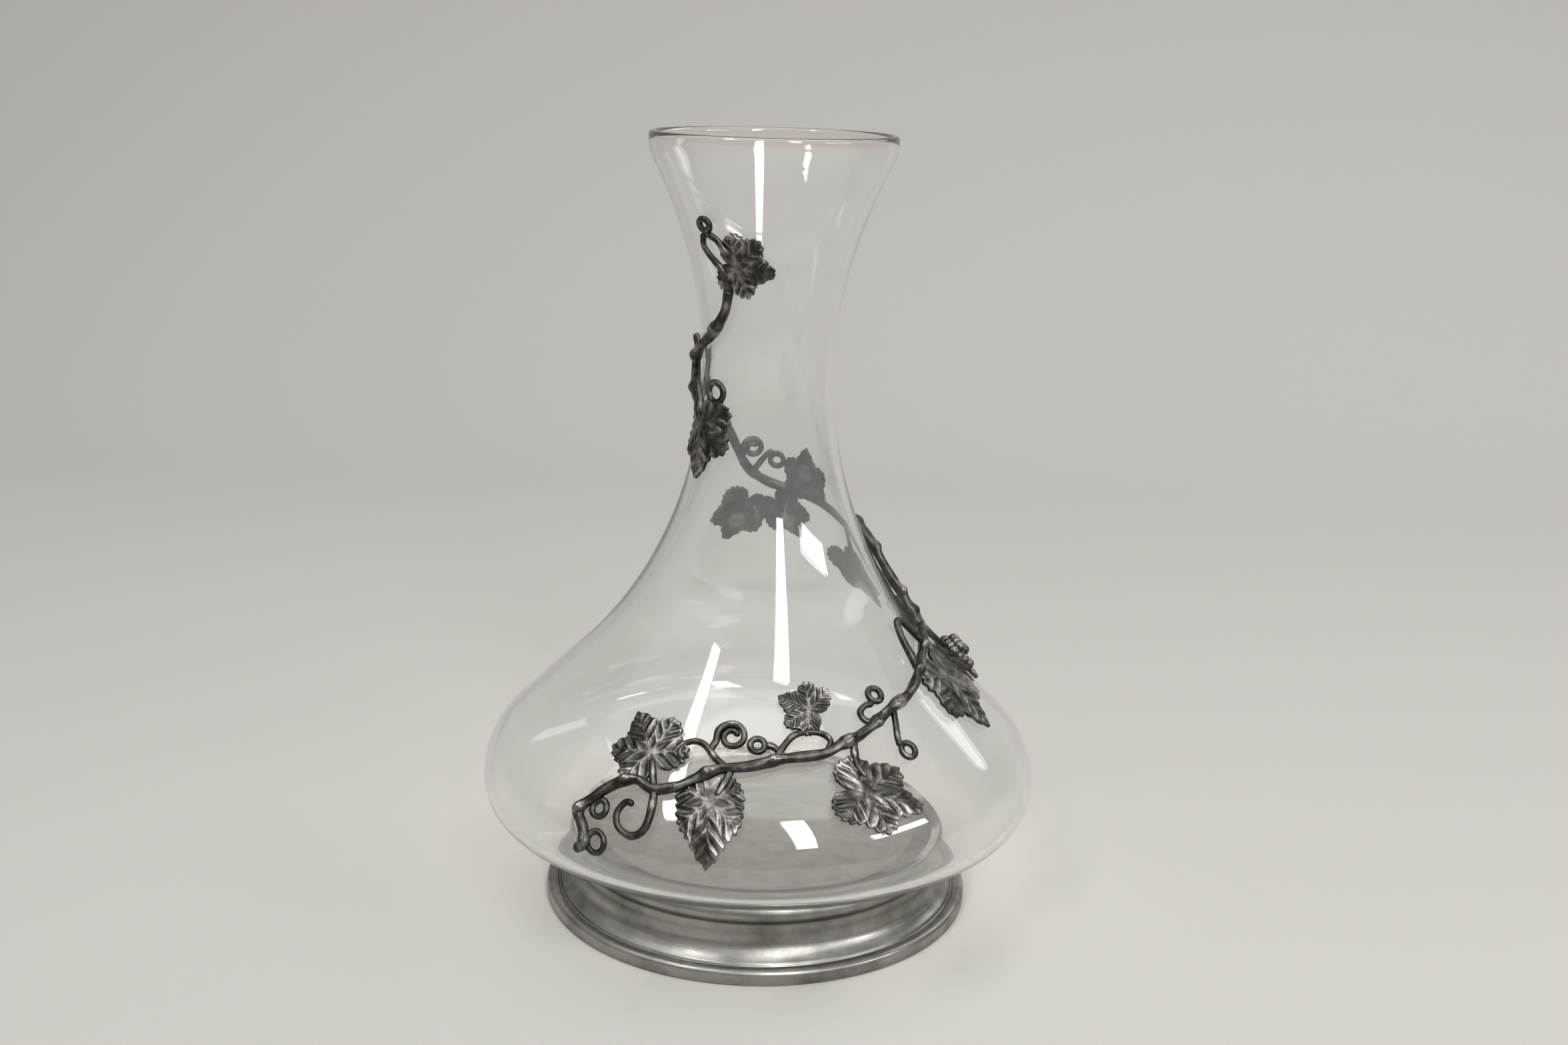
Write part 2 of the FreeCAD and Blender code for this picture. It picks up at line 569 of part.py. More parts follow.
def route_wire(points):
    """Straight runs joined by tangent arcs, each as large as its two runs allow."""
    edges = []
    here = points[0]
    for before, corner, after in zip(points, points[1:], points[2:]):
        way_in = (corner - before).normalize()
        way_out = (after - corner).normalize()
        turn = way_in.getAngle(way_out)
        if math.degrees(turn) < STRAIGHT_DEGREES:
            continue
        cut = CORNER_SHARE * min(corner.distanceToPoint(before), corner.distanceToPoint(after))
        radius = cut / math.tan(turn / 2)
        start = corner - way_in * cut
        end = corner + way_out * cut
        inward = (way_out - way_in).normalize()
        middle = corner + inward * (radius / math.cos(turn / 2) - radius)
        edges.append(Part.LineSegment(here, start).toShape())
        edges.append(Part.Arc(start, middle, end).toShape())
        here = end
    edges.append(Part.LineSegment(here, points[-1]).toShape())
    return Part.Wire(edges)


def vine_wire(name, places, radius_alias):
    """A round wire that lies along a route on the glass."""
    lift = size["vine_gap"] + size[radius_alias]
    points = [on_glass(turn, share, lift) for turn, share in fine_route(places)]
    route = doc.addObject("Part::Feature", name + "_route")
    route.Shape = route_wire(points)
    section = doc.addObject("Part::Circle", name + "_section")
    section.setExpression("Radius", "Derived." + radius_alias)
    section.Placement = Placement(points[0], Rotation(Vector(0, 0, 1), points[1] - points[0]))
    sweep = doc.addObject("Part::Sweep", name + "_sweep")
    sweep.Sections = [section]
    sweep.Spine = (route, ["Edge%d" % (row + 1) for row in range(len(route.Shape.Edges))])
    sweep.Solid = True
    sweep.Frenet = False
    return sweep


def spiral_places(turn, share, start, turns, outer_share, inner_share):
    """Places along a spiral that draws in evenly round a middle on the glass."""
    count = math.ceil(abs(turns) * SPIRAL_STEPS)
    places = []
    for step in range(count + 1):
        part = step / count
        angle = math.radians(start + 360 * turns * part)
        reach = size["spiral_radius"] * (outer_share + (inner_share - outer_share) * part)
        places.append(beside(turn, share, reach * math.cos(angle), reach * math.sin(angle)))
    return places


def vine_ring(name, turn, share, ring_share):
    """A closed ring of tendril wire that lies flat on the glass."""
    ring = doc.addObject("Part::Torus", name + "_ring")
    ring.setExpression("Radius1", "Derived.ring_radius * %g" % ring_share)
    ring.setExpression("Radius2", "Derived.tendril_radius")
    out = glass_axes(turn, share)[2]
    lift = size["vine_gap"] + size["tendril_radius"]
    ring.Placement = Placement(on_glass(turn, share, lift), Rotation(Vector(0, 0, 1), out))
    return ring


def leaf_outline(place, sideways, along, length, width_share):
    """The lobed outline of a leaf about its middle: rounded lobes on either side and a pointed tip."""
    def spot(shares, hand):
        return place + sideways * (hand * shares[0] * length * width_share) + along * (shares[1] * length)

    edges = []
    tip = spot(LEAF_TIP_SHARES, 1)
    for hand in (1, -1):
        here = spot(LEAF_NOTCH_SHARES, hand)
        for crown, end in LEAF_LOBE_SHARES:
            edges.append(Part.Arc(here, spot(crown, hand), spot(end, hand)).toShape())
            here = spot(end, hand)
        edges.append(Part.LineSegment(here, tip).toShape())
    return Part.Wire(Part.__sortEdges__(edges))


def vine_leaf(name, turn, share, lean, length_share, width_share):
    """A lobed leaf of even thickness that follows the glass."""
    right, up, out = glass_axes(turn, share)
    angle = math.radians(lean)
    along = up * math.cos(angle) + right * math.sin(angle)
    sideways = right * math.cos(angle) - up * math.sin(angle)
    length = size["leaf_length"] * length_share
    outline = doc.addObject("Part::Feature", name + "_outline")
    outline.Shape = Part.Face(leaf_outline(on_glass(turn, share, 0), sideways, along, length, width_share))
    blank = doc.addObject("Part::Extrusion", name + "_prism")
    blank.Base = outline
    blank.DirMode = "Custom"
    blank.Dir = out
    blank.setExpression("LengthFwd", "Derived.leaf_reach")
    blank.setExpression("LengthRev", "Derived.leaf_reach")
    blank.Solid = True
    leaf = doc.addObject("Part::Common", name + "_blank")
    leaf.Base = leaf_skin
    leaf.Tool = blank
    return leaf


def grape_bunch():
    """A hanging bunch: one layer of grapes on the glass and a few on top, cast as one."""
    grapes = []
    turn, share = GRAPE_PLACE_SHARES
    for number, (across, along, layer) in enumerate(GRAPE_SHARES):
        place = beside(turn, share, across * size["grape_radius"], along * size["grape_radius"])
        lift = size["vine_gap"] + size["grape_radius"] * (1 + layer * GRAPE_LAYER_SHARE)
        grape = doc.addObject("Part::Sphere", "grape_%d" % number)
        grape.setExpression("Radius", "Derived.grape_radius")
        out = glass_axes(*place)[2]
        grape.Placement = Placement(on_glass(*place, lift), Rotation(Vector(0, 0, 1), out))
        grapes.append(grape)
    bunch = doc.addObject("Part::MultiFuse", "grape_bunch_blank")
    bunch.Shapes = grapes
    return bunch


def glue_dots():
    """A dot of glue under the middle of each leaf, filling the gap to the glass."""
    dots = []
    for name, (turn, share, lean, length_share, width_share) in LEAF_SHARES.items():
        out = glass_axes(turn, share)[2]
        drop = doc.addObject("Part::Cylinder", name + "_glue_drop")
        drop.setExpression("Radius", "Derived.glue_radius")
        drop.setExpression("Height", "Derived.leaf_reach")
        start = on_glass(turn, share, -size["leaf_reach"] / 2)
        drop.Placement = Placement(start, Rotation(Vector(0, 0, 1), out))
        dot = doc.addObject("Part::Common", name + "_glue")
        dot.Base = glue_skin
        dot.Tool = drop
        dots.append(dot)
    group = doc.addObject("Part::Compound", "glue_dots")
    group.Links = dots
    return group


def fit(name, blank):
    """A vine piece cut back from what it meets."""
    hosts = [pieces[host] for host in HOSTS.get(name, [])]
    if not hosts:
        return keep(name, blank)
    tool = hosts[0]
    if len(hosts) > 1:
        tool = doc.addObject("Part::Compound", name + "_hosts")
        tool.Links = hosts
    trimmed = doc.addObject("Part::Cut", name + "_fitted")
    trimmed.Base = blank
    trimmed.Tool = tool
    trimmed.Refine = False
    return keep(name, trimmed)


keep("glass_body", glass_body())
keep("foot_ring", foot_ring())
keep("foot_plate", foot_plate())
keep("seat_cement", seat_cement())
leaf_skin = skin_body("leaf_skin", "Sizes.vine_gap", "Derived.leaf_face")
glue_skin = skin_body("glue_skin", "0", "Sizes.vine_gap")

for name, places in STEM_SHARES.items():
    fit(name, vine_wire(name, places, "stem_radius"))
for name, places in STALK_SHARES.items():
    fit(name, vine_wire(name, places, "stalk_radius"))
for name, places in TENDRIL_SHARES.items():
    fit(name, vine_wire(name, places, "tendril_radius"))
for name, numbers in SPIRAL_SHARES.items():
    fit(name, vine_wire(name, spiral_places(*numbers), "tendril_radius"))
for name, numbers in RING_SHARES.items():
    fit(name, vine_ring(name, *numbers))
fit("grape_bunch", grape_bunch())
for name, numbers in LEAF_SHARES.items():
    fit(name, vine_leaf(name, *numbers))
keep("glue_dots", glue_dots())

doc.recompute()

failed = [item.Label for item in doc.Objects if "Invalid" in item.State or "Error" in item.State]
if failed:
    raise SystemExit("failed: " + ", ".join(failed))
for name, item in pieces.items():
    if item.Shape.isNull() or not item.Shape.isValid():
        raise SystemExit("bad shape: " + name)

os.makedirs("parts", exist_ok=True)
for name, item in pieces.items():
    item.Shape.exportStep("parts/%s.step" % name)
print("%d pieces" % len(pieces))
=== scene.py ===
"""Looks of a glass carafe: blown glass, a turned pewter foot and a cast grapevine wound round it.

Metres, +Z up, the front of the carafe towards -Y. A turn round the axis is counted in degrees from
the front towards the right side, and a height on the glass is a share of the way from the belly to
the rim.
"""

import logging
import math
from dataclasses import dataclass
from enum import Enum
from typing import Optional

import bpy
import numpy as np
from mathutils import Matrix, Vector


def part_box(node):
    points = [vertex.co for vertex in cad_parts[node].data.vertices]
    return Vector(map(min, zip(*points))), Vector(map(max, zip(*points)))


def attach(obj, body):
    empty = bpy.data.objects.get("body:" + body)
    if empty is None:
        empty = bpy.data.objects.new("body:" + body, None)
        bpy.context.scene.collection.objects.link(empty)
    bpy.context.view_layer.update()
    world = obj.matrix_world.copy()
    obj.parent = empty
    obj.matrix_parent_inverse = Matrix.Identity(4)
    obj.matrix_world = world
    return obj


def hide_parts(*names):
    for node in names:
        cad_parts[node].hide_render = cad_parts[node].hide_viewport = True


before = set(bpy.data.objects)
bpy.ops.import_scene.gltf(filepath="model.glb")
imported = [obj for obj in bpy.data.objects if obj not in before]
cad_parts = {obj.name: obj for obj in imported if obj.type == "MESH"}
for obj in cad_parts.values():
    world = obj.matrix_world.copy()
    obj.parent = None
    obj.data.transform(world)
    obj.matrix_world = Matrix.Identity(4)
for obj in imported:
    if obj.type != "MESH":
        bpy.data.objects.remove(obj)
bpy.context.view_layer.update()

LOG = logging.getLogger("carafe")
BODY = "root"
MM = 0.001

Place = tuple[float, float]
Colour = tuple[float, float, float]
Range = tuple[float, float]
Layers = tuple[float, float]  # number of a pattern's finer layers, and their strength
Socket = bpy.types.NodeSocket
Piece = bpy.types.Object

PHASES: Range = (0, 6)  # radians, where a wave may start


class Slot(Enum):
    """Material slots of the record that the finer pieces belong to."""

    GLASS = "glass"
    FOOT = "foot_pewter"
    VINE = "vine_pewter"


class WireKind(Enum):
    """Kinds of vine wire: radius, taper from root to end, swelling of the free end, knottiness."""

    STEM = (1.55 * MM, 1.0, 1.0, 1.0)
    STALK = (1.2 * MM, 0.85, 1.0, 0.5)
    CURL = (1.3 * MM, 0.68, 1.2, 0.4)
    TENDRIL = (1.1 * MM, 0.76, 1.3, 0.35)
    RING = (0.95 * MM, 1.0, 1.0, 0.35)

    @property
    def radius(self) -> float:
        """Radius of the wire at its root."""
        return self.value[0]

    @property
    def taper(self) -> float:
        """Share of the radius that is left at the end."""
        return self.value[1]

    @property
    def bulb(self) -> float:
        """Swelling of the end, as a share of the radius there."""
        return self.value[2]

    @property
    def knots(self) -> float:
        """Strength of the knots and ridges."""
        return self.value[3]


# Meshes


@dataclass
class Skin:
    """A closed surface: its vertices, its quads and its triangles, and how worn each vertex is."""

    points: np.ndarray
    quads: np.ndarray
    triangles: np.ndarray
    wear: Optional[np.ndarray] = None

    def facing_out(self) -> "Skin":
        """Turns the faces round where the signed volume is negative.

        Returns:
            The same surface with its faces outwards.
        """
        corners = np.vstack([self.quads[:, [0, 1, 2]], self.quads[:, [0, 2, 3]], self.triangles])
        first, second, third = (self.points[corners[:, row]] for row in range(3))
        volume = np.einsum("ij,ij->i", first, np.cross(second, third)).sum()
        if volume < 0:
            self.quads = self.quads[:, ::-1]
            self.triangles = self.triangles[:, ::-1]
        return self


def grid_skin(
    grid: np.ndarray,
    poles: Optional[tuple[np.ndarray, np.ndarray]] = None,
    loop: bool = False,
    wear: Optional[np.ndarray] = None,
) -> Skin:
    """A closed surface from a grid of points whose columns always close on themselves.

    The rows either close on themselves too, as on a ring, or end in two poles, each joined to its
    row by a fan of triangles.

    Args:
        grid: Points, rows by columns by 3.
        poles: The two end points, or None for the middles of the first and last rows.
        loop: True where the last row joins the first.
        wear: How worn each grid point is, rows by columns.

    Returns:
        The surface with its faces outwards.
    """
    rows, columns = grid.shape[:2]
    row = np.arange(rows if loop else rows - 1)[:, None]
    column = np.arange(columns)[None, :]
    after = (column + 1) % columns
    below = (row + 1) % rows
    quads = np.stack([
        row * columns + column, row * columns + after,
        below * columns + after, below * columns + column,
    ], -1).reshape(-1, 4)
    points = grid.reshape(-1, 3)
    triangles = np.empty((0, 3), int)
    worn = None if wear is None else wear.ravel()
    if not loop:
        ends = (grid[0].mean(0), grid[-1].mean(0)) if poles is None else poles
        points = np.vstack([points, ends])
        first = np.arange(columns)
        last = first + (rows - 1) * columns
        top = np.full(columns, rows * columns)
        triangles = np.vstack([
            np.stack([top, np.roll(first, -1), first], -1),
            np.stack([top + 1, last, np.roll(last, -1)], -1),
        ])
        if worn is not None:
            worn = np.append(worn, [wear[0].mean(), wear[-1].mean()])
    return Skin(points, quads, triangles, worn).facing_out()


def joined(skins: list[Skin]) -> Skin:
    """Several closed surfaces as one mesh, with their vertex numbers moved on.

    Args:
        skins: The surfaces.

    Returns:
        One surface.
    """
    starts = np.cumsum([0] + [len(skin.points) for skin in skins[:-1]])
    return Skin(
        np.vstack([skin.points for skin in skins]),
        np.vstack([skin.quads + start for skin, start in zip(skins, starts)]),
        np.vstack([skin.triangles + start for skin, start in zip(skins, starts)]),
        np.concatenate([skin.wear for skin in skins]),
    )


def make_piece(name: str, skin: Skin, slot: Slot, *nodes: str) -> Piece:
    """A smooth-shaded piece that rides on the carafe and stands for its solids.

    Args:
        name: Name of the piece.
        skin: Its surface.
        slot: The record's slot that its finish belongs to; not used.
        nodes: The solids that the piece stands for.

    Returns:
        The piece, not dressed yet.
    """
    mesh = bpy.data.meshes.new(name)
    mesh.from_pydata(skin.points.tolist(), [], skin.quads.tolist() + skin.triangles.tolist())
    if skin.wear is not None:
        worn = mesh.attributes.new("wear", "FLOAT", "POINT")
        worn.data.foreach_set("value", skin.wear.astype(np.float32))
    mesh.shade_smooth()
    mesh.validate()
    piece = bpy.data.objects.new(name, mesh)
    bpy.context.scene.collection.objects.link(piece)
    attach(piece, BODY)
    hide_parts(*nodes)
    LOG.info("%s: %d faces", name, len(mesh.polygons))
    return piece


class SubAssembly:
    """Pieces that are built together and dressed in one finish."""

    def dress(self, pieces: list[Piece], finish: bpy.types.Material) -> None:
        """Gives the finish to every piece.

        Args:
            pieces: What the sub-assembly's build method made.
            finish: The finish.
        """
        for piece in pieces:
            piece.data.materials.append(finish)


# Finishes


class Nodes:
    """A material's node tree, with short calls to add nodes and join them."""

    def __init__(self, name: str) -> None:
        """Starts an empty material.

        Args:
            name: Name of the material.
        """
        self.material = bpy.data.materials.new(name)
        self.material.use_nodes = True
        self.tree = self.material.node_tree
        self.tree.nodes.clear()
        self.output = self.tree.nodes.new("ShaderNodeOutputMaterial")

    def add(self, kind: str, **settings: object) -> bpy.types.Node:
        """Adds a node.

        Args:
            kind: Node type without its prefix.
            settings: Node properties, or input values where the name is an input's with _ for a
                space.

        Returns:
            The node.
        """
        node = self.tree.nodes.new("ShaderNode" + kind)
        sockets = {socket.name.replace(" ", "_"): socket for socket in reversed(node.inputs)}
        for key, value in settings.items():
            if key in sockets:
                sockets[key].default_value = value
            else:
                setattr(node, key, value)
        return node

    def link(self, source: Socket, target: Socket) -> None:
        """Joins an output to an input."""
        self.tree.links.new(source, target)

    def noise(self, vector: Socket, scale: float, layers: Layers) -> Socket:
        """Cloudy pattern over a vector.

        Args:
            vector: Where to look the pattern up.
            scale: Lumps per metre.
            layers: Number and strength of the finer layers.

        Returns:
            The pattern's value socket.
        """
        node = self.add("TexNoise", Scale=scale, Detail=layers[0], Roughness=layers[1])
        self.link(vector, node.inputs["Vector"])
        return node.outputs["Fac"]

    def ramp(self, value: Socket, low: float, high: float, start: float, end: float) -> Socket:
        """A value stretched from one range to another, smooth at both ends.

        Args:
            value: What is stretched.
            low: Value that gives start.
            high: Value that gives end.
            start: Lowest result.
            end: Highest result.

        Returns:
            The result socket.
        """
        node = self.add("MapRange", interpolation_type="SMOOTHSTEP")
        limits = {"From Min": low, "From Max": high, "To Min": start, "To Max": end}
        for name, number in limits.items():
            node.inputs[name].default_value = number
        self.link(value, node.inputs["Value"])
        return node.outputs["Result"]

    def math(self, kind: str, first: Socket, second: "Socket | float") -> Socket:
        """One sum of two values.

        Args:
            kind: Kind of sum.
            first: First value.
            second: Second value, a socket or a number.

        Returns:
            The result socket.
        """
        node = self.add("Math", operation=kind)
        self.link(first, node.inputs[0])
        if isinstance(second, (int, float)):
            node.inputs[1].default_value = second
        else:
            self.link(second, node.inputs[1])
        return node.outputs["Value"]

    def mix(self, share: Socket, first: "Colour | Socket", second: Colour) -> Socket:
        """A colour between two.

        Args:
            share: Share of the second colour.
            first: First colour, numbers or a socket.
            second: Second colour.

        Returns:
            The colour socket.
        """
        node = self.add("Mix", data_type="RGBA")
        self.link(share, node.inputs["Factor"])
        ends = [socket for socket in node.inputs if socket.type == "RGBA"]
        if isinstance(first, tuple):
            ends[0].default_value = (*first, 1)
        else:
            self.link(first, ends[0])
        ends[1].default_value = (*second, 1)
        return next(socket for socket in node.outputs if socket.type == "RGBA")

    def bump(self, height: Socket, strength: float, distance: float) -> Socket:
        """The normal of a rough surface.

        Args:
            height: Height pattern.
            strength: Share of the effect.
            distance: Height of the pattern in metres.

        Returns:
            The normal socket.
        """
        node = self.add("Bump", Strength=strength, Distance=distance)
        self.link(height, node.inputs["Height"])
        return node.outputs["Normal"]

    def place(self) -> Socket:
        """The place on the object, in metres."""
        return self.add("TexCoord").outputs["Object"]

    def turned(self, across: float) -> Socket:
        """A vector for lathe marks, the same all round the axis: distance from it and height.

        Args:
            across: Share of the place itself that is mixed in, so that the marks aren't quite even.

        Returns:
            The vector socket.
        """
        parts = self.add("SeparateXYZ")
        self.link(self.place(), parts.inputs[0])
        squares = [self.math("MULTIPLY", parts.outputs[axis], parts.outputs[axis]) for axis in "XY"]
        radius = self.math("SQRT", self.math("ADD", *squares), 0.0)
        whole = self.add("CombineXYZ")
        self.link(radius, whole.inputs["X"])
        self.link(self.math("MULTIPLY", parts.outputs["X"], across), whole.inputs["Y"])
        self.link(parts.outputs["Z"], whole.inputs["Z"])
        return whole.outputs[0]

    def finish(self, shader: bpy.types.Node) -> bpy.types.Material:
        """Joins the shader to the output and returns the material."""
        self.link(shader.outputs[0], self.output.inputs["Surface"])
        return self.material


@dataclass(frozen=True)
class GlassFinish:
    """Clear blown glass with faint smears, which lets lamps through to what stands behind it."""

    tint: Colour = (0.955, 0.957, 0.952)
    haze: Colour = (0.93, 0.93, 0.92)
    thick: Colour = (0.91, 0.88, 0.83)
    index: float = 1.5
    clearness: float = 0.985
    smear_scale: float = 22.0
    smear_layers: Layers = (6, 0.6)
    smear_range: Range = (0.5, 0.75)
    smear_roughness: float = 0.05
    rim_height: float = 243.2 * MM
    rim_fade: float = 1.25 * MM
    seat_height: float = 24 * MM
    seat_fade: float = 5 * MM
    seat_share: float = 0.7
    wave_scale: float = 30.0
    wave_layers: Layers = (1, 0.5)
    wave_strength: float = 0.35
    wave_height: float = 0.15 * MM

    def material(self) -> bpy.types.Material:
        """Makes the glass.

        Smears come from a cloudy pattern that dulls and greys the surface, waves from a broad bump,
        and the thick glass of the rim and the seat is warmer in colour.

        Returns:
            The material.
        """
        nodes = Nodes("clear_blown_glass")
        cloud = nodes.noise(nodes.place(), self.smear_scale, self.smear_layers)
        smear = nodes.ramp(cloud, *self.smear_range, 0, 1)
        shader = nodes.add("BsdfPrincipled", IOR=self.index, Transmission_Weight=self.clearness)
        parts = nodes.add("SeparateXYZ")
        nodes.link(nodes.place(), parts.inputs[0])
        level = parts.outputs["Z"]
        rim = nodes.ramp(level, self.rim_height - self.rim_fade, self.rim_height, 0, 1)
        seat_end = self.seat_height + self.seat_fade
        seat = nodes.ramp(level, self.seat_height, seat_end, self.seat_share, 0)
        thin = nodes.mix(smear, self.tint, self.haze)
        colour = nodes.mix(nodes.math("MAXIMUM", rim, seat), thin, self.thick)
        nodes.link(colour, shader.inputs["Base Color"])
        nodes.link(nodes.ramp(smear, 0, 1, 0, self.smear_roughness), shader.inputs["Roughness"])
        wave = nodes.noise(nodes.place(), self.wave_scale, self.wave_layers)
        nodes.link(nodes.bump(wave, self.wave_strength, self.wave_height), shader.inputs["Normal"])
        clear = nodes.add("BsdfTransparent", Color=(*self.tint, 1))
        path = nodes.add("LightPath")
        mix = nodes.add("MixShader")
        nodes.link(path.outputs["Is Shadow Ray"], mix.inputs["Fac"])
        nodes.link(shader.outputs[0], mix.inputs[1])
        nodes.link(clear.outputs[0], mix.inputs[2])
        return nodes.finish(mix)


@dataclass(frozen=True)
class TurnedPewterFinish:
    """Satin pewter with lathe marks all round and cloudy tarnish."""

    name: str = "turned_pewter"
    bright: Colour = (0.39, 0.378, 0.355)
    tarnish: Colour = (0.175, 0.168, 0.154)
    tarnish_scale: float = 38.0
    tarnish_layers: Layers = (8, 0.62)
    tarnish_range: Range = (0.38, 0.68)
    roughness: Range = (0.25, 0.44)
    rough_range: Range = (0.7, 1.3)
    mark_scale: float = 900.0
    mark_layers: Layers = (4, 0.7)
    mark_drift: float = 0.04
    mark_strength: float = 0.5
    mark_height: float = 0.05 * MM

    def material(self) -> bpy.types.Material:
        """Makes the pewter.

        Lathe marks are a fine pattern of radius and height, tarnish a cloudy one of the place.

        Returns:
            The material.
        """
        nodes = Nodes(self.name)
        cloud = nodes.noise(nodes.place(), self.tarnish_scale, self.tarnish_layers)
        marks = nodes.noise(nodes.turned(self.mark_drift), self.mark_scale, self.mark_layers)
        dull = nodes.ramp(cloud, *self.tarnish_range, 0, 1)
        shader = nodes.add("BsdfPrincipled", Metallic=1.0)
        nodes.link(nodes.mix(dull, self.bright, self.tarnish), shader.inputs["Base Color"])
        rough = nodes.ramp(nodes.math("ADD", cloud, marks), *self.rough_range, *self.roughness)
        nodes.link(rough, shader.inputs["Roughness"])
        bump = nodes.bump(marks, self.mark_strength, self.mark_height)
        nodes.link(bump, shader.inputs["Normal"])
        return nodes.finish(shader)


@dataclass(frozen=True)
class CastVineFinish:
    """Dark oxidised pewter, bright where hands have worn the ridges."""

    patina: Colour = (0.04, 0.037, 0.033)
    dust: Colour = (0.105, 0.098, 0.088)
    worn: Colour = (0.42, 0.4, 0.37)
    cloud_scale: float = 260.0
    cloud_layers: Layers = (6, 0.65)
    dust_range: Range = (0.35, 0.7)
    worn_range: Range = (0.4, 1.05)
    roughness: Range = (0.3, 0.46)
    rough_range: Range = (0.3, 0.75)
    polish: float = 0.12
    grain_scale: float = 2200.0
    grain_layers: Layers = (3, 0.6)
    grain_strength: float = 0.4
    grain_height: float = 0.06 * MM

    def material(self) -> bpy.types.Material:
        """Makes the pewter.

        The worn share is the piece's own wear, broken up by a cloudy pattern; on the grapes it also
        carries a painted highlight at each grape's outer end.

        Returns:
            The material.
        """
        nodes = Nodes("cast_vine_pewter")
        cloud = nodes.noise(nodes.place(), self.cloud_scale, self.cloud_layers)
        grain = nodes.noise(nodes.place(), self.grain_scale, self.grain_layers)
        wear = nodes.add("Attribute", attribute_name="wear").outputs["Fac"]
        broken = nodes.math("ADD", wear, nodes.math("SUBTRACT", cloud, 0.5))
        share = nodes.ramp(broken, *self.worn_range, 0, 1)
        shader = nodes.add("BsdfPrincipled", Metallic=1.0)
        base = nodes.mix(nodes.ramp(cloud, *self.dust_range, 0, 1), self.patina, self.dust)
        nodes.link(nodes.mix(share, base, self.worn), shader.inputs["Base Color"])
        dull = nodes.ramp(cloud, *self.rough_range, *self.roughness)
        rough = nodes.math("SUBTRACT", dull, nodes.math("MULTIPLY", share, self.polish))
        nodes.link(rough, shader.inputs["Roughness"])
        bump = nodes.bump(grain, self.grain_strength, self.grain_height)
        nodes.link(bump, shader.inputs["Normal"])
        return nodes.finish(shader)


@dataclass(frozen=True)
class CementFinish:
    """Blotchy setting cement or glue."""

    name: str = "setting_cement"
    pale: Colour = (0.4, 0.385, 0.36)
    dark: Colour = (0.07, 0.066, 0.06)
    blotch_scale: float = 60.0
    blotch_layers: Layers = (6, 0.65)
    blotch_range: Range = (0.4, 0.62)
    roughness: float = 0.85
    lump_strength: float = 0.6
    lump_height: float = 0.3 * MM

    def material(self) -> bpy.types.Material:
        """Makes the cement, with blotches from a cloudy pattern of the place.

        Returns:
            The material.
        """
        nodes = Nodes(self.name)
        blotch = nodes.noise(nodes.place(), self.blotch_scale, self.blotch_layers)
        shader = nodes.add("BsdfPrincipled", Roughness=self.roughness)
        share = nodes.ramp(blotch, *self.blotch_range, 0, 1)
        nodes.link(nodes.mix(share, self.pale, self.dark), shader.inputs["Base Color"])
        bump = nodes.bump(blotch, self.lump_strength, self.lump_height)
        nodes.link(bump, shader.inputs["Normal"])
        return nodes.finish(shader)


@dataclass(frozen=True)
class StageFinish:
    """Plain pale matt paper for the floor and backdrop."""

    colour: Colour = (0.46, 0.44, 0.415)
    roughness: float = 0.9

    def material(self) -> bpy.types.Material:
        """Makes the paper, in one even colour.

        Returns:
            The material.
        """
        nodes = Nodes("stage_paper")
        colour = (*self.colour, 1)
        shader = nodes.add("BsdfPrincipled", Roughness=self.roughness, Base_Color=colour)
        return nodes.finish(shader)


# Glass


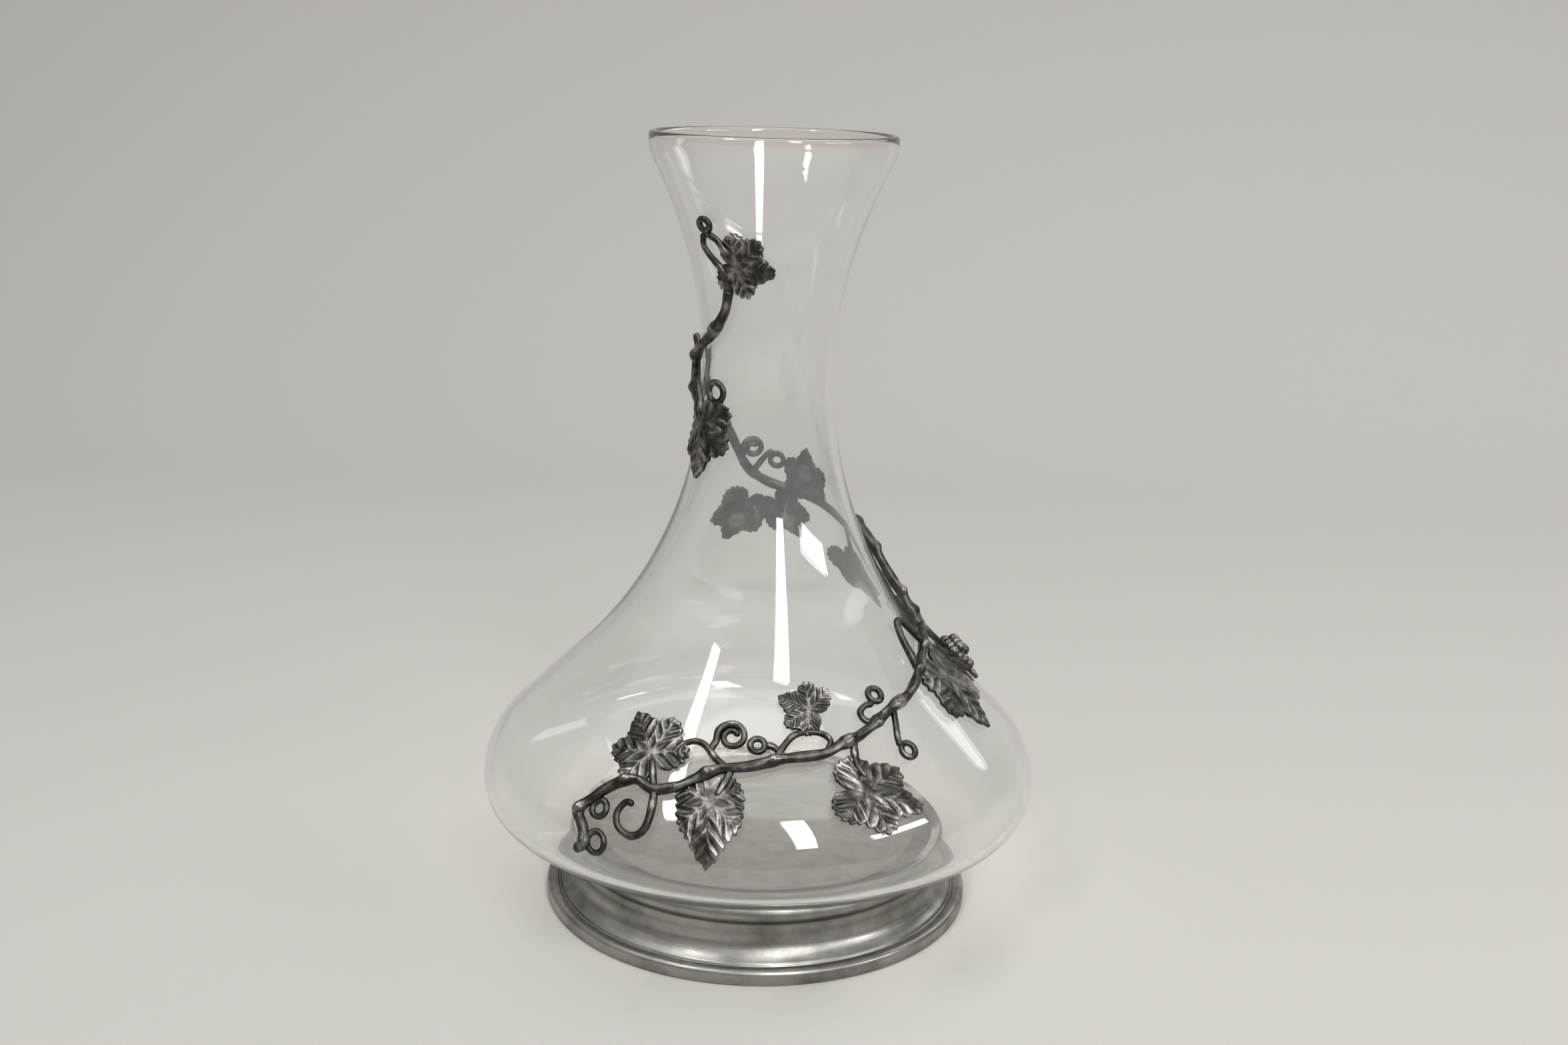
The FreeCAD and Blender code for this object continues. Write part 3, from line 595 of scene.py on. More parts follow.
@dataclass
class GlassOutline:
    """The outside of the glass as tangent arcs from the rim down to the seat, and places on it."""

    height: float
    belly_radius: float
    rim_radius: float = 37.7 * MM
    lip_arc_share: float = 0.46
    neck_radius: float = 20.5 * MM
    neck_height: float = 173 * MM
    shoulder_slope_share: float = 0.846
    shoulder_arc: float = 25 * MM
    belly_height: float = 42 * MM
    under_arc: float = 11 * MM
    wall: float = 2.6 * MM
    seat_radius: float = 60 * MM
    seat_height: float = 21.2 * MM
    table_step: float = 0.2 * MM
    drop_steps: int = 8

    def __post_init__(self) -> None:
        """Works out the joints of the arcs, then a table of radius and tilt over height.

        Two tangent arcs that start and end upright turn by twice the angle whose tangent is reach
        over rise, and their radii together are the rise over the sine of that turn. The shoulder
        turns less, so a straight run lies between its arcs, and their radii together are drop times
        sine less reach times cosine, over one less the cosine. The underside is the tangent from
        the seat to the arc below the belly.
        """
        rim_height = self.height - self.wall / 2
        lip_arc = self.lip_arc_share * self.rim_radius
        neck_rise = rim_height - self.neck_height
        lip_turn = 2 * math.atan((self.rim_radius - self.neck_radius) / neck_rise)
        rise_arc = neck_rise / math.sin(lip_turn) - lip_arc
        drop = self.neck_height - self.belly_height
        reach = self.belly_radius - self.neck_radius
        slope = 2 * self.shoulder_slope_share * math.atan(reach / drop)
        both_arcs = (drop * math.sin(slope) - reach * math.cos(slope)) / (1 - math.cos(slope))
        sweep_arc = both_arcs - self.shoulder_arc
        out = self.seat_radius - self.belly_radius + self.under_arc
        down = self.belly_height - self.seat_height
        tangent = math.acos(self.under_arc / math.hypot(out, down))
        self.under_slope = math.atan2(down, out) - tangent
        straight = self.belly_radius - self.shoulder_arc * (1 - math.cos(slope))
        above = self.neck_radius + sweep_arc * (1 - math.cos(slope))
        slant = (straight - above) / math.sin(slope)
        under_foot = self.belly_radius - self.under_arc * (1 - math.cos(self.under_slope))
        under = (under_foot - self.seat_radius) / math.sin(self.under_slope)
        self.start = (self.rim_radius, rim_height)
        self.runs = [
            (lip_arc, 0.0, -lip_turn),
            (-rise_arc, -lip_turn, 0.0),
            (-sweep_arc, 0.0, slope),
            (slant, slope, slope),
            (self.shoulder_arc, slope, 0.0),
            (self.under_arc, 0.0, -self.under_slope),
            (under, -self.under_slope, -self.under_slope),
        ]
        fine = self.trace(0.0, self.table_step)
        order = np.argsort(fine[:, 1])
        self.table = fine[order]

    def trace(self, offset: float, step: float) -> np.ndarray:
        """The outside, moved out by an offset, from the rim down.

        Along an arc the point is its start plus the arc's radius times the change of the outward
        direction, and along a straight run it moves at right angles to that direction.

        Args:
            offset: Distance from the outside, negative for the inside wall.
            step: Greatest distance between points.

        Returns:
            Rows of radius, height and tilt of the outward direction.
        """
        rows = []
        here = np.array(self.start)
        for radius, first, last in self.runs:
            length = abs(radius) if first == last else abs(radius * (last - first))
            count = max(3, math.ceil(length / step))
            share = np.linspace(0, 1, count + 1)
            tilt = first + (last - first) * share
            facing = np.stack([np.cos(tilt), np.sin(tilt)], -1)
            if first == last:
                way = np.array([math.sin(first), -math.cos(first)])
                points = here + np.outer(share * radius, way)
            else:
                points = here + radius * (facing - facing[0])
            rows.append(np.column_stack([points + offset * facing, tilt])[:-1])
            here = points[-1]
        rows.append(np.array([[*(here + offset * facing[-1]), tilt[-1]]]))
        return np.vstack(rows)

    @property
    def rise(self) -> float:
        """Height of the rim over the belly."""
        return self.height - self.belly_height

    def risen(self, share: "np.ndarray | float") -> "np.ndarray | float":
        """Height of a place at a share of the way up from the belly to the rim."""
        return self.belly_height + share * self.rise

    def radius_at(self, height: np.ndarray) -> np.ndarray:
        """Radius of the outside at each height."""
        return np.interp(height, self.table[:, 1], self.table[:, 0])

    def tilt_at(self, height: np.ndarray) -> np.ndarray:
        """Tilt of the outward direction at each height, in radians."""
        return np.interp(height, self.table[:, 1], self.table[:, 2])

    def outward(self, turn: np.ndarray, height: np.ndarray) -> np.ndarray:
        """Outward directions: level with the radius, tipped up by the tilt.

        Args:
            turn: Turns round the axis in radians.
            height: Heights on the glass.

        Returns:
            The directions.
        """
        tilt = self.tilt_at(height)
        level = np.cos(tilt)
        return np.stack([level * np.sin(turn), -level * np.cos(turn), np.sin(tilt)], -1)

    def point(self, turn: np.ndarray, height: np.ndarray, lift: "np.ndarray | float") -> np.ndarray:
        """Points that stand out of the glass: the place at its radius, plus the lift outwards.

        Args:
            turn: Turns round the axis in radians.
            height: Heights on the glass.
            lift: Distances out of the glass.

        Returns:
            The points.
        """
        radius = self.radius_at(height)
        on_glass = np.stack([radius * np.sin(turn), -radius * np.cos(turn), height], -1)
        return on_glass + np.asarray(lift)[..., None] * self.outward(turn, height)

    def axes(self, turn: float, height: float) -> tuple[np.ndarray, np.ndarray, np.ndarray]:
        """Directions at one place.

        Args:
            turn: Turn round the axis in radians.
            height: Height on the glass.

        Returns:
            Sideways, up along the glass and outward.
        """
        out = self.outward(np.array(turn), np.array(height))
        right = np.array([math.cos(turn), math.sin(turn), 0.0])
        return right, np.cross(out, right), out

    def dropped(self, points: np.ndarray, way: np.ndarray) -> tuple[np.ndarray, np.ndarray]:
        """Points moved along one direction until they lie on the glass.

        Each step is how far the point's radius misses the glass's, over the rate at which that
        changes along the direction.

        Args:
            points: Points near the glass.
            way: The direction.

        Returns:
            The points on the glass and the outward directions there.
        """
        shift = np.zeros(points.shape[:-1])
        for _ in range(self.drop_steps):
            now = points + shift[..., None] * way
            across = np.hypot(now[..., 0], now[..., 1])
            miss = across - self.radius_at(now[..., 2])
            level = (now[..., 0] * way[0] + now[..., 1] * way[1]) / across
            rate = level + np.tan(self.tilt_at(now[..., 2])) * way[2]
            shift = shift - miss / rate
        now = points + shift[..., None] * way
        turn = np.arctan2(now[..., 0], -now[..., 1])
        return now, self.outward(turn, now[..., 2])


def lathe(profile: np.ndarray, segments: int, ripple: Optional[np.ndarray] = None) -> np.ndarray:
    """A grid of points turned about the axis: radius times the sine and cosine of each turn.

    Args:
        profile: Rows of radius and height.
        segments: Number of columns round the axis.
        ripple: Change of radius at each row and column.

    Returns:
        Points, rows by columns by 3.
    """
    turn = np.linspace(0, 2 * np.pi, segments, endpoint=False)
    radius = np.repeat(profile[:, :1], segments, 1)
    if ripple is not None:
        radius = radius + ripple
    height = np.repeat(profile[:, 1:2], segments, 1)
    return np.stack([radius * np.sin(turn), -radius * np.cos(turn), height], -1)


@dataclass
class GlassVessel(SubAssembly):
    """The blown vessel: wide low belly, tall neck with a flared mouth, thick floor with a punt."""

    outline: GlassOutline
    base_radius: float = 52 * MM
    floor: float = 5 * MM
    punt_rise: float = 3 * MM
    step: float = 2.4 * MM
    floor_rows: int = 12
    rim_rows: int = 7
    segments: int = 208
    ripple: float = 0.1 * MM

    # Waves of the ripple: their rates round the axis, up the height and along the section.
    WAVES = ((3, 9, 4), (5, -14, 7))

    def profile(self) -> np.ndarray:
        """The section: from the middle of the underside up the outside, over the rounded rim and
        down the inside to the middle of the floor.

        Returns:
            Rows of radius and height.
        """
        outline = self.outline
        wall = outline.wall
        slope = math.tan(outline.under_slope)
        base_height = outline.seat_height - (outline.seat_radius - self.base_radius) / slope
        share = np.linspace(0, 1, self.floor_rows + 2)[1:-1, None]
        punt = np.array([0, base_height + self.punt_rise])
        base = np.array([self.base_radius, base_height])
        outside = outline.trace(0.0, self.step)[::-1, :2]
        inside = outline.trace(-wall, self.step)[:, :2]
        floor_height = base_height + self.floor
        inside = inside[inside[:, 1] > floor_height + wall]
        floor_radius = outline.seat_radius + (floor_height - outline.seat_height) * slope
        corner = np.array([floor_radius - wall / math.cos(outline.under_slope), floor_height])
        middle = np.array([0, floor_height + self.punt_rise])
        turn = np.linspace(0, np.pi, self.rim_rows + 2)[1:-1]
        rim = np.stack([
            outline.rim_radius - wall / 2 + wall / 2 * np.cos(turn),
            outline.height - wall / 2 + wall / 2 * np.sin(turn),
        ], -1)
        punt_bow = np.column_stack([share, 1 - np.cos(share * np.pi / 2)])
        floor_bow = np.column_stack([share, np.sin(share * np.pi / 2) ** 2])
        return np.vstack([
            [punt], punt + (base - punt) * punt_bow, [base],
            outside, rim, inside,
            [corner], corner + (middle - corner) * floor_bow, [middle],
        ])

    def build(self) -> list[Piece]:
        """Turns the section, drawn in here and there by slow waves, as blown glass is.

        Returns:
            The vessel.
        """
        profile = self.profile()
        turn = np.linspace(0, 2 * np.pi, self.segments, endpoint=False)[None, :]
        height = profile[:, 1:2] / self.outline.height
        row = np.linspace(0, 1, len(profile))[:, None]
        wave = sum(np.sin(a * turn + b * height + c * row) for a, b, c in self.WAVES)
        fade = np.clip(profile[:, :1] / self.outline.neck_radius, 0, 1)
        grid = lathe(profile, self.segments, -self.ripple * fade * (0.5 + 0.25 * wave))
        poles = tuple(np.array([0, 0, profile[end, 1]]) for end in (0, -1))
        return [make_piece("blown_glass", grid_skin(grid[1:-1], poles), Slot.GLASS, "glass_body")]


# Foot


@dataclass
class TurnedFoot(SubAssembly):
    """The turned pewter foot: flange, incised line, cove, roll and a slanted seat, hollow below."""

    radius: float
    top: float
    top_radius: float = 61 * MM
    wall: float = 2.2 * MM
    flange_height: float = 4.6 * MM
    flange_round: float = 1.6 * MM
    edge_round: float = 0.3 * MM
    tread: float = 3.6 * MM
    groove_width: float = 0.9 * MM
    groove_depth: float = 0.8 * MM
    waist_radius: float = 60.4 * MM
    waist_share: float = 0.8
    cove_bulge: float = 1.7 * MM
    bead_height: float = 5.4 * MM
    bead_bulge: float = 1.4 * MM
    round_rows: int = 9
    cove_rows: int = 16
    waist_rows: int = 3
    bead_rows: int = 18
    segments: int = 224
    unevenness: float = 0.06 * MM

    def bowed(self, start: Place, end: Place, bulge: float, count: int) -> np.ndarray:
        """Points of a shallow arc between two corners: the straight run plus a parabola.

        Args:
            start: First corner, radius and height.
            end: Last corner.
            bulge: Height of the bow, to the right of the way along where positive.
            count: Number of points.

        Returns:
            The points, from the first corner on, without the last.
        """
        share = np.linspace(0, 1, count + 1)[:-1, None]
        first, last = np.array(start), np.array(end)
        way = (last - first) / np.linalg.norm(last - first)
        bow = np.array([way[1], -way[0]]) * 4 * bulge * share * (1 - share)
        return first + (last - first) * share + bow

    def profile(self) -> np.ndarray:
        """The closed section: from the floor up the outside and down the hollow, with a small
        round at each edge.

        Returns:
            Rows of radius and height.
        """
        groove_outer = self.radius - self.tread
        groove_inner = groove_outer - self.groove_width
        rim = self.flange_height
        groove_low = rim - self.groove_depth
        bead_foot = self.top - self.bead_height
        waist = rim + self.waist_share * (bead_foot - rim)
        bore = self.waist_radius - self.wall
        soft = self.edge_round
        turn = np.linspace(0, np.pi / 2, self.round_rows)
        shoulder = np.stack([
            self.radius - self.flange_round + self.flange_round * np.cos(turn),
            rim - self.flange_round + self.flange_round * np.sin(turn),
        ], -1)
        hollow = self.radius - self.wall
        cove_start, cove_end = (groove_inner - soft / 2, rim), (self.waist_radius, waist)
        bead_start, bead_end = (self.waist_radius, bead_foot), (self.top_radius, self.top)
        return np.vstack([
            [(self.radius - soft, 0), (self.radius, soft)],
            shoulder,
            [(groove_outer + soft, rim), (groove_outer, rim - soft),
             (groove_outer - soft / 2, groove_low), (groove_inner + soft / 2, groove_low),
             (groove_inner, rim - soft)],
            self.bowed(cove_start, cove_end, -self.cove_bulge, self.cove_rows),
            self.bowed(cove_end, bead_start, 0, self.waist_rows),
            self.bowed(bead_start, bead_end, self.bead_bulge, self.bead_rows),
            [bead_end, (bore, self.top - self.wall / 2), (bore, rim),
             (bore, rim - self.wall), (hollow, rim - self.wall), (hollow, 0)],
        ])

    def build(self) -> list[Piece]:
        """Turns the section, very slightly out of round, as a ring turned by hand is.

        Returns:
            The foot.
        """
        profile = self.profile()
        turn = np.linspace(0, 2 * np.pi, self.segments, endpoint=False)[None, :]
        uneven = -self.unevenness * (0.5 + 0.5 * np.sin(3 * turn + 0.7 * np.sin(2 * turn)))
        grid = lathe(profile, self.segments, np.repeat(uneven, len(profile), 0))
        return [make_piece("turned_foot", grid_skin(grid, loop=True), Slot.FOOT, "foot_ring")]


# Vine


@dataclass
class VineWire:
    """A cast wire that lies along a route on the glass."""

    node: str
    kind: WireKind
    route: list[Place]
    closed: bool = False
    overlap_steps: float = 0.0
    end_round: float = 1.0
    end_share: float = 0.02
    gap: float = 0.3 * MM
    step: float = 0.3 * MM
    least_steps: int = 8
    curve_steps: int = 24
    sides: int = 16
    bulb_length: float = 2.0
    knot_range: Range = (0.05, 0.95)
    knot_spacing: float = 14 * MM
    knot_length: float = 1.6 * MM
    knot_swelling: float = 0.28
    ridge_depth: float = 0.075
    twists: Range = (0.35, 0.6)
    least_wear: float = 0.2
    top_wear: float = 0.22
    ridge_wear: float = 0.16
    knot_wear: float = 0.2

    def path(self, outline: GlassOutline) -> tuple[np.ndarray, np.ndarray, np.ndarray]:
        """A smooth curve through the route's places, at even steps.

        Between two places the curve is the cubic whose slopes at both ends are those between the
        neighbours on either side. A stem runs on a little at both ends, into the next one.

        Args:
            outline: The glass.

        Returns:
            Turns in radians, heights, and distances along the curve.
        """
        route = np.array(self.route)
        places = np.column_stack([np.radians(route[:, 0]), outline.risen(route[:, 1])])
        if self.closed:
            knots = np.vstack([places[-1:], places, places[:2]])
        else:
            root, tip = 2 * places[:1] - places[1:2], 2 * places[-1:] - places[-2:-1]
            knots = np.vstack([root, places, tip])
        share = np.linspace(0, 1, self.curve_steps, endpoint=False)[:, None]
        before, first, last, after = (knots[row:len(knots) - 3 + row, None] for row in range(4))
        curve = 0.5 * (
            2 * first + (last - before) * share
            + (2 * before - 5 * first + 4 * last - after) * share ** 2
            + (3 * first - before - 3 * last + after) * share ** 3
        )
        curve = np.vstack([curve.reshape(-1, 2), knots[-2:-1]])
        if self.overlap_steps > 0:
            root = curve[:1] + self.overlap_steps * (curve[:1] - curve[1:2])
            tip = curve[-1:] + self.overlap_steps * (curve[-1:] - curve[-2:-1])
            curve = np.vstack([root, curve, tip])
        spots = outline.point(curve[:, 0], curve[:, 1], np.zeros(len(curve)))
        along = np.append(0, np.cumsum(np.linalg.norm(np.diff(spots, axis=0), axis=1)))
        count = max(self.least_steps, math.ceil(along[-1] / self.step))
        even = np.linspace(0, along[-1], count + 1)
        if self.closed:
            even = even[:-1]
        return np.interp(even, along, curve[:, 0]), np.interp(even, along, curve[:, 1]), even

    def skin(self, outline: GlassOutline, seed: int) -> Skin:
        """The wire: a ring of points round each step of the path.

        Its radius tapers evenly, swells as a bell curve at each knot and at a free end, and goes in
        and out with twisted ridges, the sum of two waves round the ring that turn along the path.
        An end is rounded off as a quarter circle.

        Args:
            outline: The glass.
            seed: Where its ridges and knots start.

        Returns:
            Its surface.
        """
        turn, height, along = self.path(outline)
        draw = np.random.default_rng(seed)
        length, size, knottiness = along[-1], self.kind.radius, self.kind.knots
        share = along / length
        radius = size * np.ones_like(along)
        if not self.closed:
            radius *= 1 + (self.kind.taper - 1) * share
            bulb = np.exp(-((length - along) / (self.bulb_length * size)) ** 2)
            radius *= 1 + (self.kind.bulb - 1) * bulb
        count = max(1, round(length / self.knot_spacing))
        knots = draw.uniform(*self.knot_range, count)
        lumps = np.exp(-((along[:, None] - knots * length) / self.knot_length) ** 2).sum(1)
        radius = radius * (1 + self.knot_swelling * knottiness * np.clip(lumps, 0, 1))
        middle = outline.point(turn, height, self.gap + radius)
        out = outline.outward(turn, height)
        if self.closed:
            inset = radius
            ahead = np.roll(middle, -1, 0) - np.roll(middle, 1, 0)
        else:
            end = np.minimum(along, length - along) / (self.end_round * size)
            cap = np.clip(1 - (1 - np.clip(end, 0, 1)) ** 2, self.end_share, 1)
            inset = radius * np.sqrt(cap)
            ahead = np.gradient(middle, axis=0)
        side = np.cross(ahead, out)
        side /= np.linalg.norm(side, axis=1)[:, None]
        angle = np.linspace(0, 2 * np.pi, self.sides, endpoint=False)[None, :]
        twist = along[:, None] * draw.uniform(*self.twists) / MM + draw.uniform(*PHASES)
        ridge = np.cos(2 * angle + twist) + 0.6 * np.cos(3 * angle - 0.7 * twist)
        around = inset[:, None] * (1 + self.ridge_depth * knottiness * ridge)
        grid = (middle[:, None] + (around * np.cos(angle))[..., None] * side[:, None]
                + (around * np.sin(angle))[..., None] * out[:, None])
        wear = (self.least_wear + self.top_wear * np.sin(angle)
                + self.ridge_wear * knottiness * ridge + self.knot_wear * lumps[:, None])
        return grid_skin(grid, loop=self.closed, wear=wear)

    def build(self, outline: GlassOutline, seed: int) -> Piece:
        """The wire as a piece of the carafe."""
        return make_piece("cast_" + self.node, self.skin(outline, seed), Slot.VINE, self.node)


@dataclass
class VineLeaf:
    """A lobed, toothed and veined leaf cast to follow the glass."""

    node: str
    turn: float
    rise_share: float
    lean: float
    length: float
    width_share: float
    spear_share: float = 0.0
    stalk: Optional[list[Place]] = None
    gap: float = 0.3 * MM
    blade: float = 1.25 * MM
    blade_wave: float = 0.2
    teeth: int = 30
    tooth_share: float = 0.042
    hand_range: Range = (0.92, 1.08)
    vein_height: float = 0.38 * MM
    vein_share: float = 0.03
    rib_height: float = 0.5 * MM
    rib_spacing: float = 0.17
    rib_slant: float = 0.9
    edge_height: float = 0.25 * MM
    edge_share: float = 0.07
    edge_drop: float = 0.2 * MM
    least_wear: float = 0.36
    vein_wear: float = 0.26
    rib_wear: float = 0.3
    edge_wear: float = 0.24
    wave_wear: float = 0.16
    columns: int = 304
    face_rows: int = 46
    under_rows: int = 7

    # Direction of each lobe from the tip, and its reach as a share of the length.
    LOBES = ((0.0, 0.78), (52.0, 0.66), (-52.0, 0.66), (112.0, 0.53), (-112.0, 0.53))
    # Distance of the edge from the stalk's end, on a lobed leaf and on a spear-shaped one.
    EDGE_DEGREES = (0, 6, 14, 28, 40, 52, 64, 84, 98, 112, 128, 146, 162, 174, 180)
    EDGE_SHARES = (0.78, 0.74, 0.64, 0.53, 0.61, 0.655, 0.6, 0.47, 0.52, 0.54, 0.51, 0.44, 0.36,
                   0.22, 0.12)
    SPEAR_SHARES = (0.78, 0.74, 0.66, 0.56, 0.53, 0.53, 0.52, 0.49, 0.51, 0.51, 0.48, 0.42, 0.35,
                    0.22, 0.12)
    HAND_DEGREES = (0, 52, 112, 180)
    TOOTH_RISE, TOOTH_FALL = 0.68, 0.32
    TOOTHLESS_DEGREES, TOOTH_FADE_DEGREES = 168, 20
    # The rounded edge: its spread past the outline, and how far it sinks from face to underside.
    EDGE_ROWS = ((1.012, 0.25), (1.015, 0.6), (1.005, 0.92))
    # Rows of the face and of the underside, as shares of the way to the edge.
    FACE_SHARES, UNDER_SHARES = (0.02, 1), (0.97, 0.04)
    # Veins: reach against the lobe's, least width, and start behind the stalk's end.
    VEIN_REACH, VEIN_END, VEIN_START = 1.05, 0.6, -0.02
    # Ribs: way along the vein to their full strength, sharpness, and the fades beside the vein,
    # at the edge and at the stalk.
    RIB_FULL, RIB_SHARPNESS = 0.36, 1.5
    BESIDE_FADE, EDGE_FADE, STALK_FADE = 0.05, 0.08, 0.04
    STALK_SHARE = -0.28
    WIDTH_SHARE = 1.12

    def edge(self, angle: np.ndarray, draw: np.random.Generator) -> np.ndarray:
        """Distance of the outline from the stalk's end.

        It is read off a curve with a hump at each lobe, or one that narrows evenly to the tip,
        changed a little on either hand, and notched by slanting teeth that fade out beside the
        stalk.

        Args:
            angle: Angles from the tip.
            draw: Source of the hands' changes and of where the teeth start.

        Returns:
            The distance at each angle.
        """
        degrees = np.abs(np.degrees(angle))
        lobed, spear = np.array(self.EDGE_SHARES), np.array(self.SPEAR_SHARES)
        shares = lobed * (1 - self.spear_share) + spear * self.spear_share
        lobe = np.interp(degrees, self.EDGE_DEGREES, shares)
        hands = draw.uniform(*self.hand_range, 4)
        right = np.interp(degrees, self.HAND_DEGREES, [1, hands[0], hands[1], 1])
        left = np.interp(degrees, self.HAND_DEGREES, [1, hands[2], hands[3], 1])
        lobe = lobe * np.where(angle > 0, right, left)
        phase = (angle / (2 * np.pi) * self.teeth + draw.uniform(0, 1)) % 1
        rising = phase < self.TOOTH_RISE
        tooth = np.where(rising, phase / self.TOOTH_RISE, (1 - phase) / self.TOOTH_FALL)
        fade = np.clip((self.TOOTHLESS_DEGREES - degrees) / self.TOOTH_FADE_DEGREES, 0, 1)
        return self.length * (lobe + self.tooth_share * (tooth - 0.5) * fade)

    def relief(
        self, across: np.ndarray, along: np.ndarray, share: np.ndarray, angle: np.ndarray,
        phase: float,
    ) -> tuple[np.ndarray, np.ndarray]:
        """Height of the face over the glass, and how worn it is.

        A blade that bows between its veins, raised main veins that run from the stalk into each
        lobe, herringbone ribs between them, and a thick edge. A vein is a bell curve across, and
        falls along its run with the root of what is left of it. The ribs are a wave of the distance
        along the nearest vein, slanted by the distance beside it. The edge is a bell curve of the
        way that is left to the outline.

        Args:
            across: Distance to the side of the stalk's end.
            along: Distance towards the tip from the stalk's end.
            share: Share of the way to the edge.
            angle: Angle from the tip.
            phase: Where the slow waves of the blade start.

        Returns:
            Heights and wear.
        """
        length = self.length
        directions = np.radians([lobe for lobe, reach in self.LOBES])
        reaches = np.array([reach for lobe, reach in self.LOBES]) * length
        sine, cosine = np.sin(directions), np.cos(directions)
        ahead = across[..., None] * sine + along[..., None] * cosine
        beside = across[..., None] * cosine - along[..., None] * sine
        run = np.clip(1 - ahead / (self.VEIN_REACH * reaches), 0, 1)
        vein = np.exp(-(beside / (self.vein_share * length * (self.VEIN_END + run))) ** 2)
        vein = (vein * np.sqrt(run) * (ahead > self.VEIN_START * length)).max(-1)
        off = np.abs((angle[..., None] - directions + np.pi) % (2 * np.pi) - np.pi)
        nearest = off.argmin(-1)[..., None]
        own_ahead = np.take_along_axis(ahead, nearest, -1)[..., 0]
        own_beside = np.abs(np.take_along_axis(beside, nearest, -1)[..., 0])
        strength = 0.5 * np.clip(own_ahead / (self.RIB_FULL * length), 0, 1)
        slanted = own_ahead - self.rib_slant * own_beside
        comb = 0.5 + strength * np.cos(2 * np.pi * slanted / (self.rib_spacing * length))
        rib = comb ** self.RIB_SHARPNESS * np.clip(own_beside / (self.BESIDE_FADE * length), 0, 1)
        rib = rib * np.clip((1 - share) / self.EDGE_FADE, 0, 1)
        rib = rib * np.clip(own_ahead / (self.STALK_FADE * length), 0, 1)
        rim = np.exp(-((1 - share) / self.edge_share) ** 2)
        wave = np.sin(2 * angle + phase) + 0.7 * np.sin(5 * angle + 2 * phase)
        lift = self.blade * (1 + self.blade_wave * share ** 2 * wave) - self.edge_drop * share ** 6
        lift = lift + self.vein_height * vein + self.rib_height * rib + self.edge_height * rim
        wear = (self.least_wear + self.vein_wear * vein + self.rib_wear * rib + self.edge_wear * rim
                + self.wave_wear * wave * share)
        return self.gap + lift, wear

    def build(self, outline: GlassOutline, seed: int) -> Piece:
        """The leaf: rings of points from the stalk's end out over the face, round the edge and back
        below, laid flat beside the glass and then dropped on it.

        Args:
            outline: The glass.
            seed: Where its teeth and waves start.

        Returns:
            The piece.
        """
        draw = np.random.default_rng(seed)
        angle = np.linspace(-np.pi, np.pi, self.columns, endpoint=False)[None, :]
        edge = self.edge(angle, draw)
        phase = draw.uniform(*PHASES)
        face = np.linspace(*self.FACE_SHARES, self.face_rows)[:, None]
        below = np.linspace(*self.UNDER_SHARES, self.under_rows)[:, None]
        rounded = np.array(self.EDGE_ROWS)
        share = np.vstack([face, np.ones((len(rounded), 1)), below])
        reach = np.vstack([face, rounded[:, :1], below]) * edge
        sink = np.vstack([np.zeros_like(face), rounded[:, 1:], np.ones_like(below)])
        across, along = reach * np.sin(angle), reach * np.cos(angle)
        shares, angles = np.repeat(share, self.columns, 1), np.repeat(angle, len(share), 0)
        lift, wear = self.relief(across, along, shares, angles, phase)
        lift = lift + (self.gap - lift) * sink
        wear = wear * (1 - sink)
        turn, height = math.radians(self.turn), outline.risen(self.rise_share)
        right, up, out = outline.axes(turn, height)
        middle = outline.point(np.array(turn), np.array(height), 0.0)
        lean = math.radians(self.lean)
        ahead = up * math.cos(lean) + right * math.sin(lean)
        sideways = right * math.cos(lean) - up * math.sin(lean)
        width = across * self.WIDTH_SHARE * self.width_share
        flat = (middle + width[..., None] * sideways
                + (along + self.STALK_SHARE * self.length)[..., None] * ahead)
        on_glass, facing = outline.dropped(flat, out)
        skin = grid_skin(on_glass + lift[..., None] * facing, wear=wear)
        if self.stalk is not None:
            stalk = VineWire(self.node, WireKind.STALK, self.stalk)
            skin = joined([skin, stalk.skin(outline, seed)])
        return make_piece("cast_" + self.node, skin, Slot.VINE, self.node)


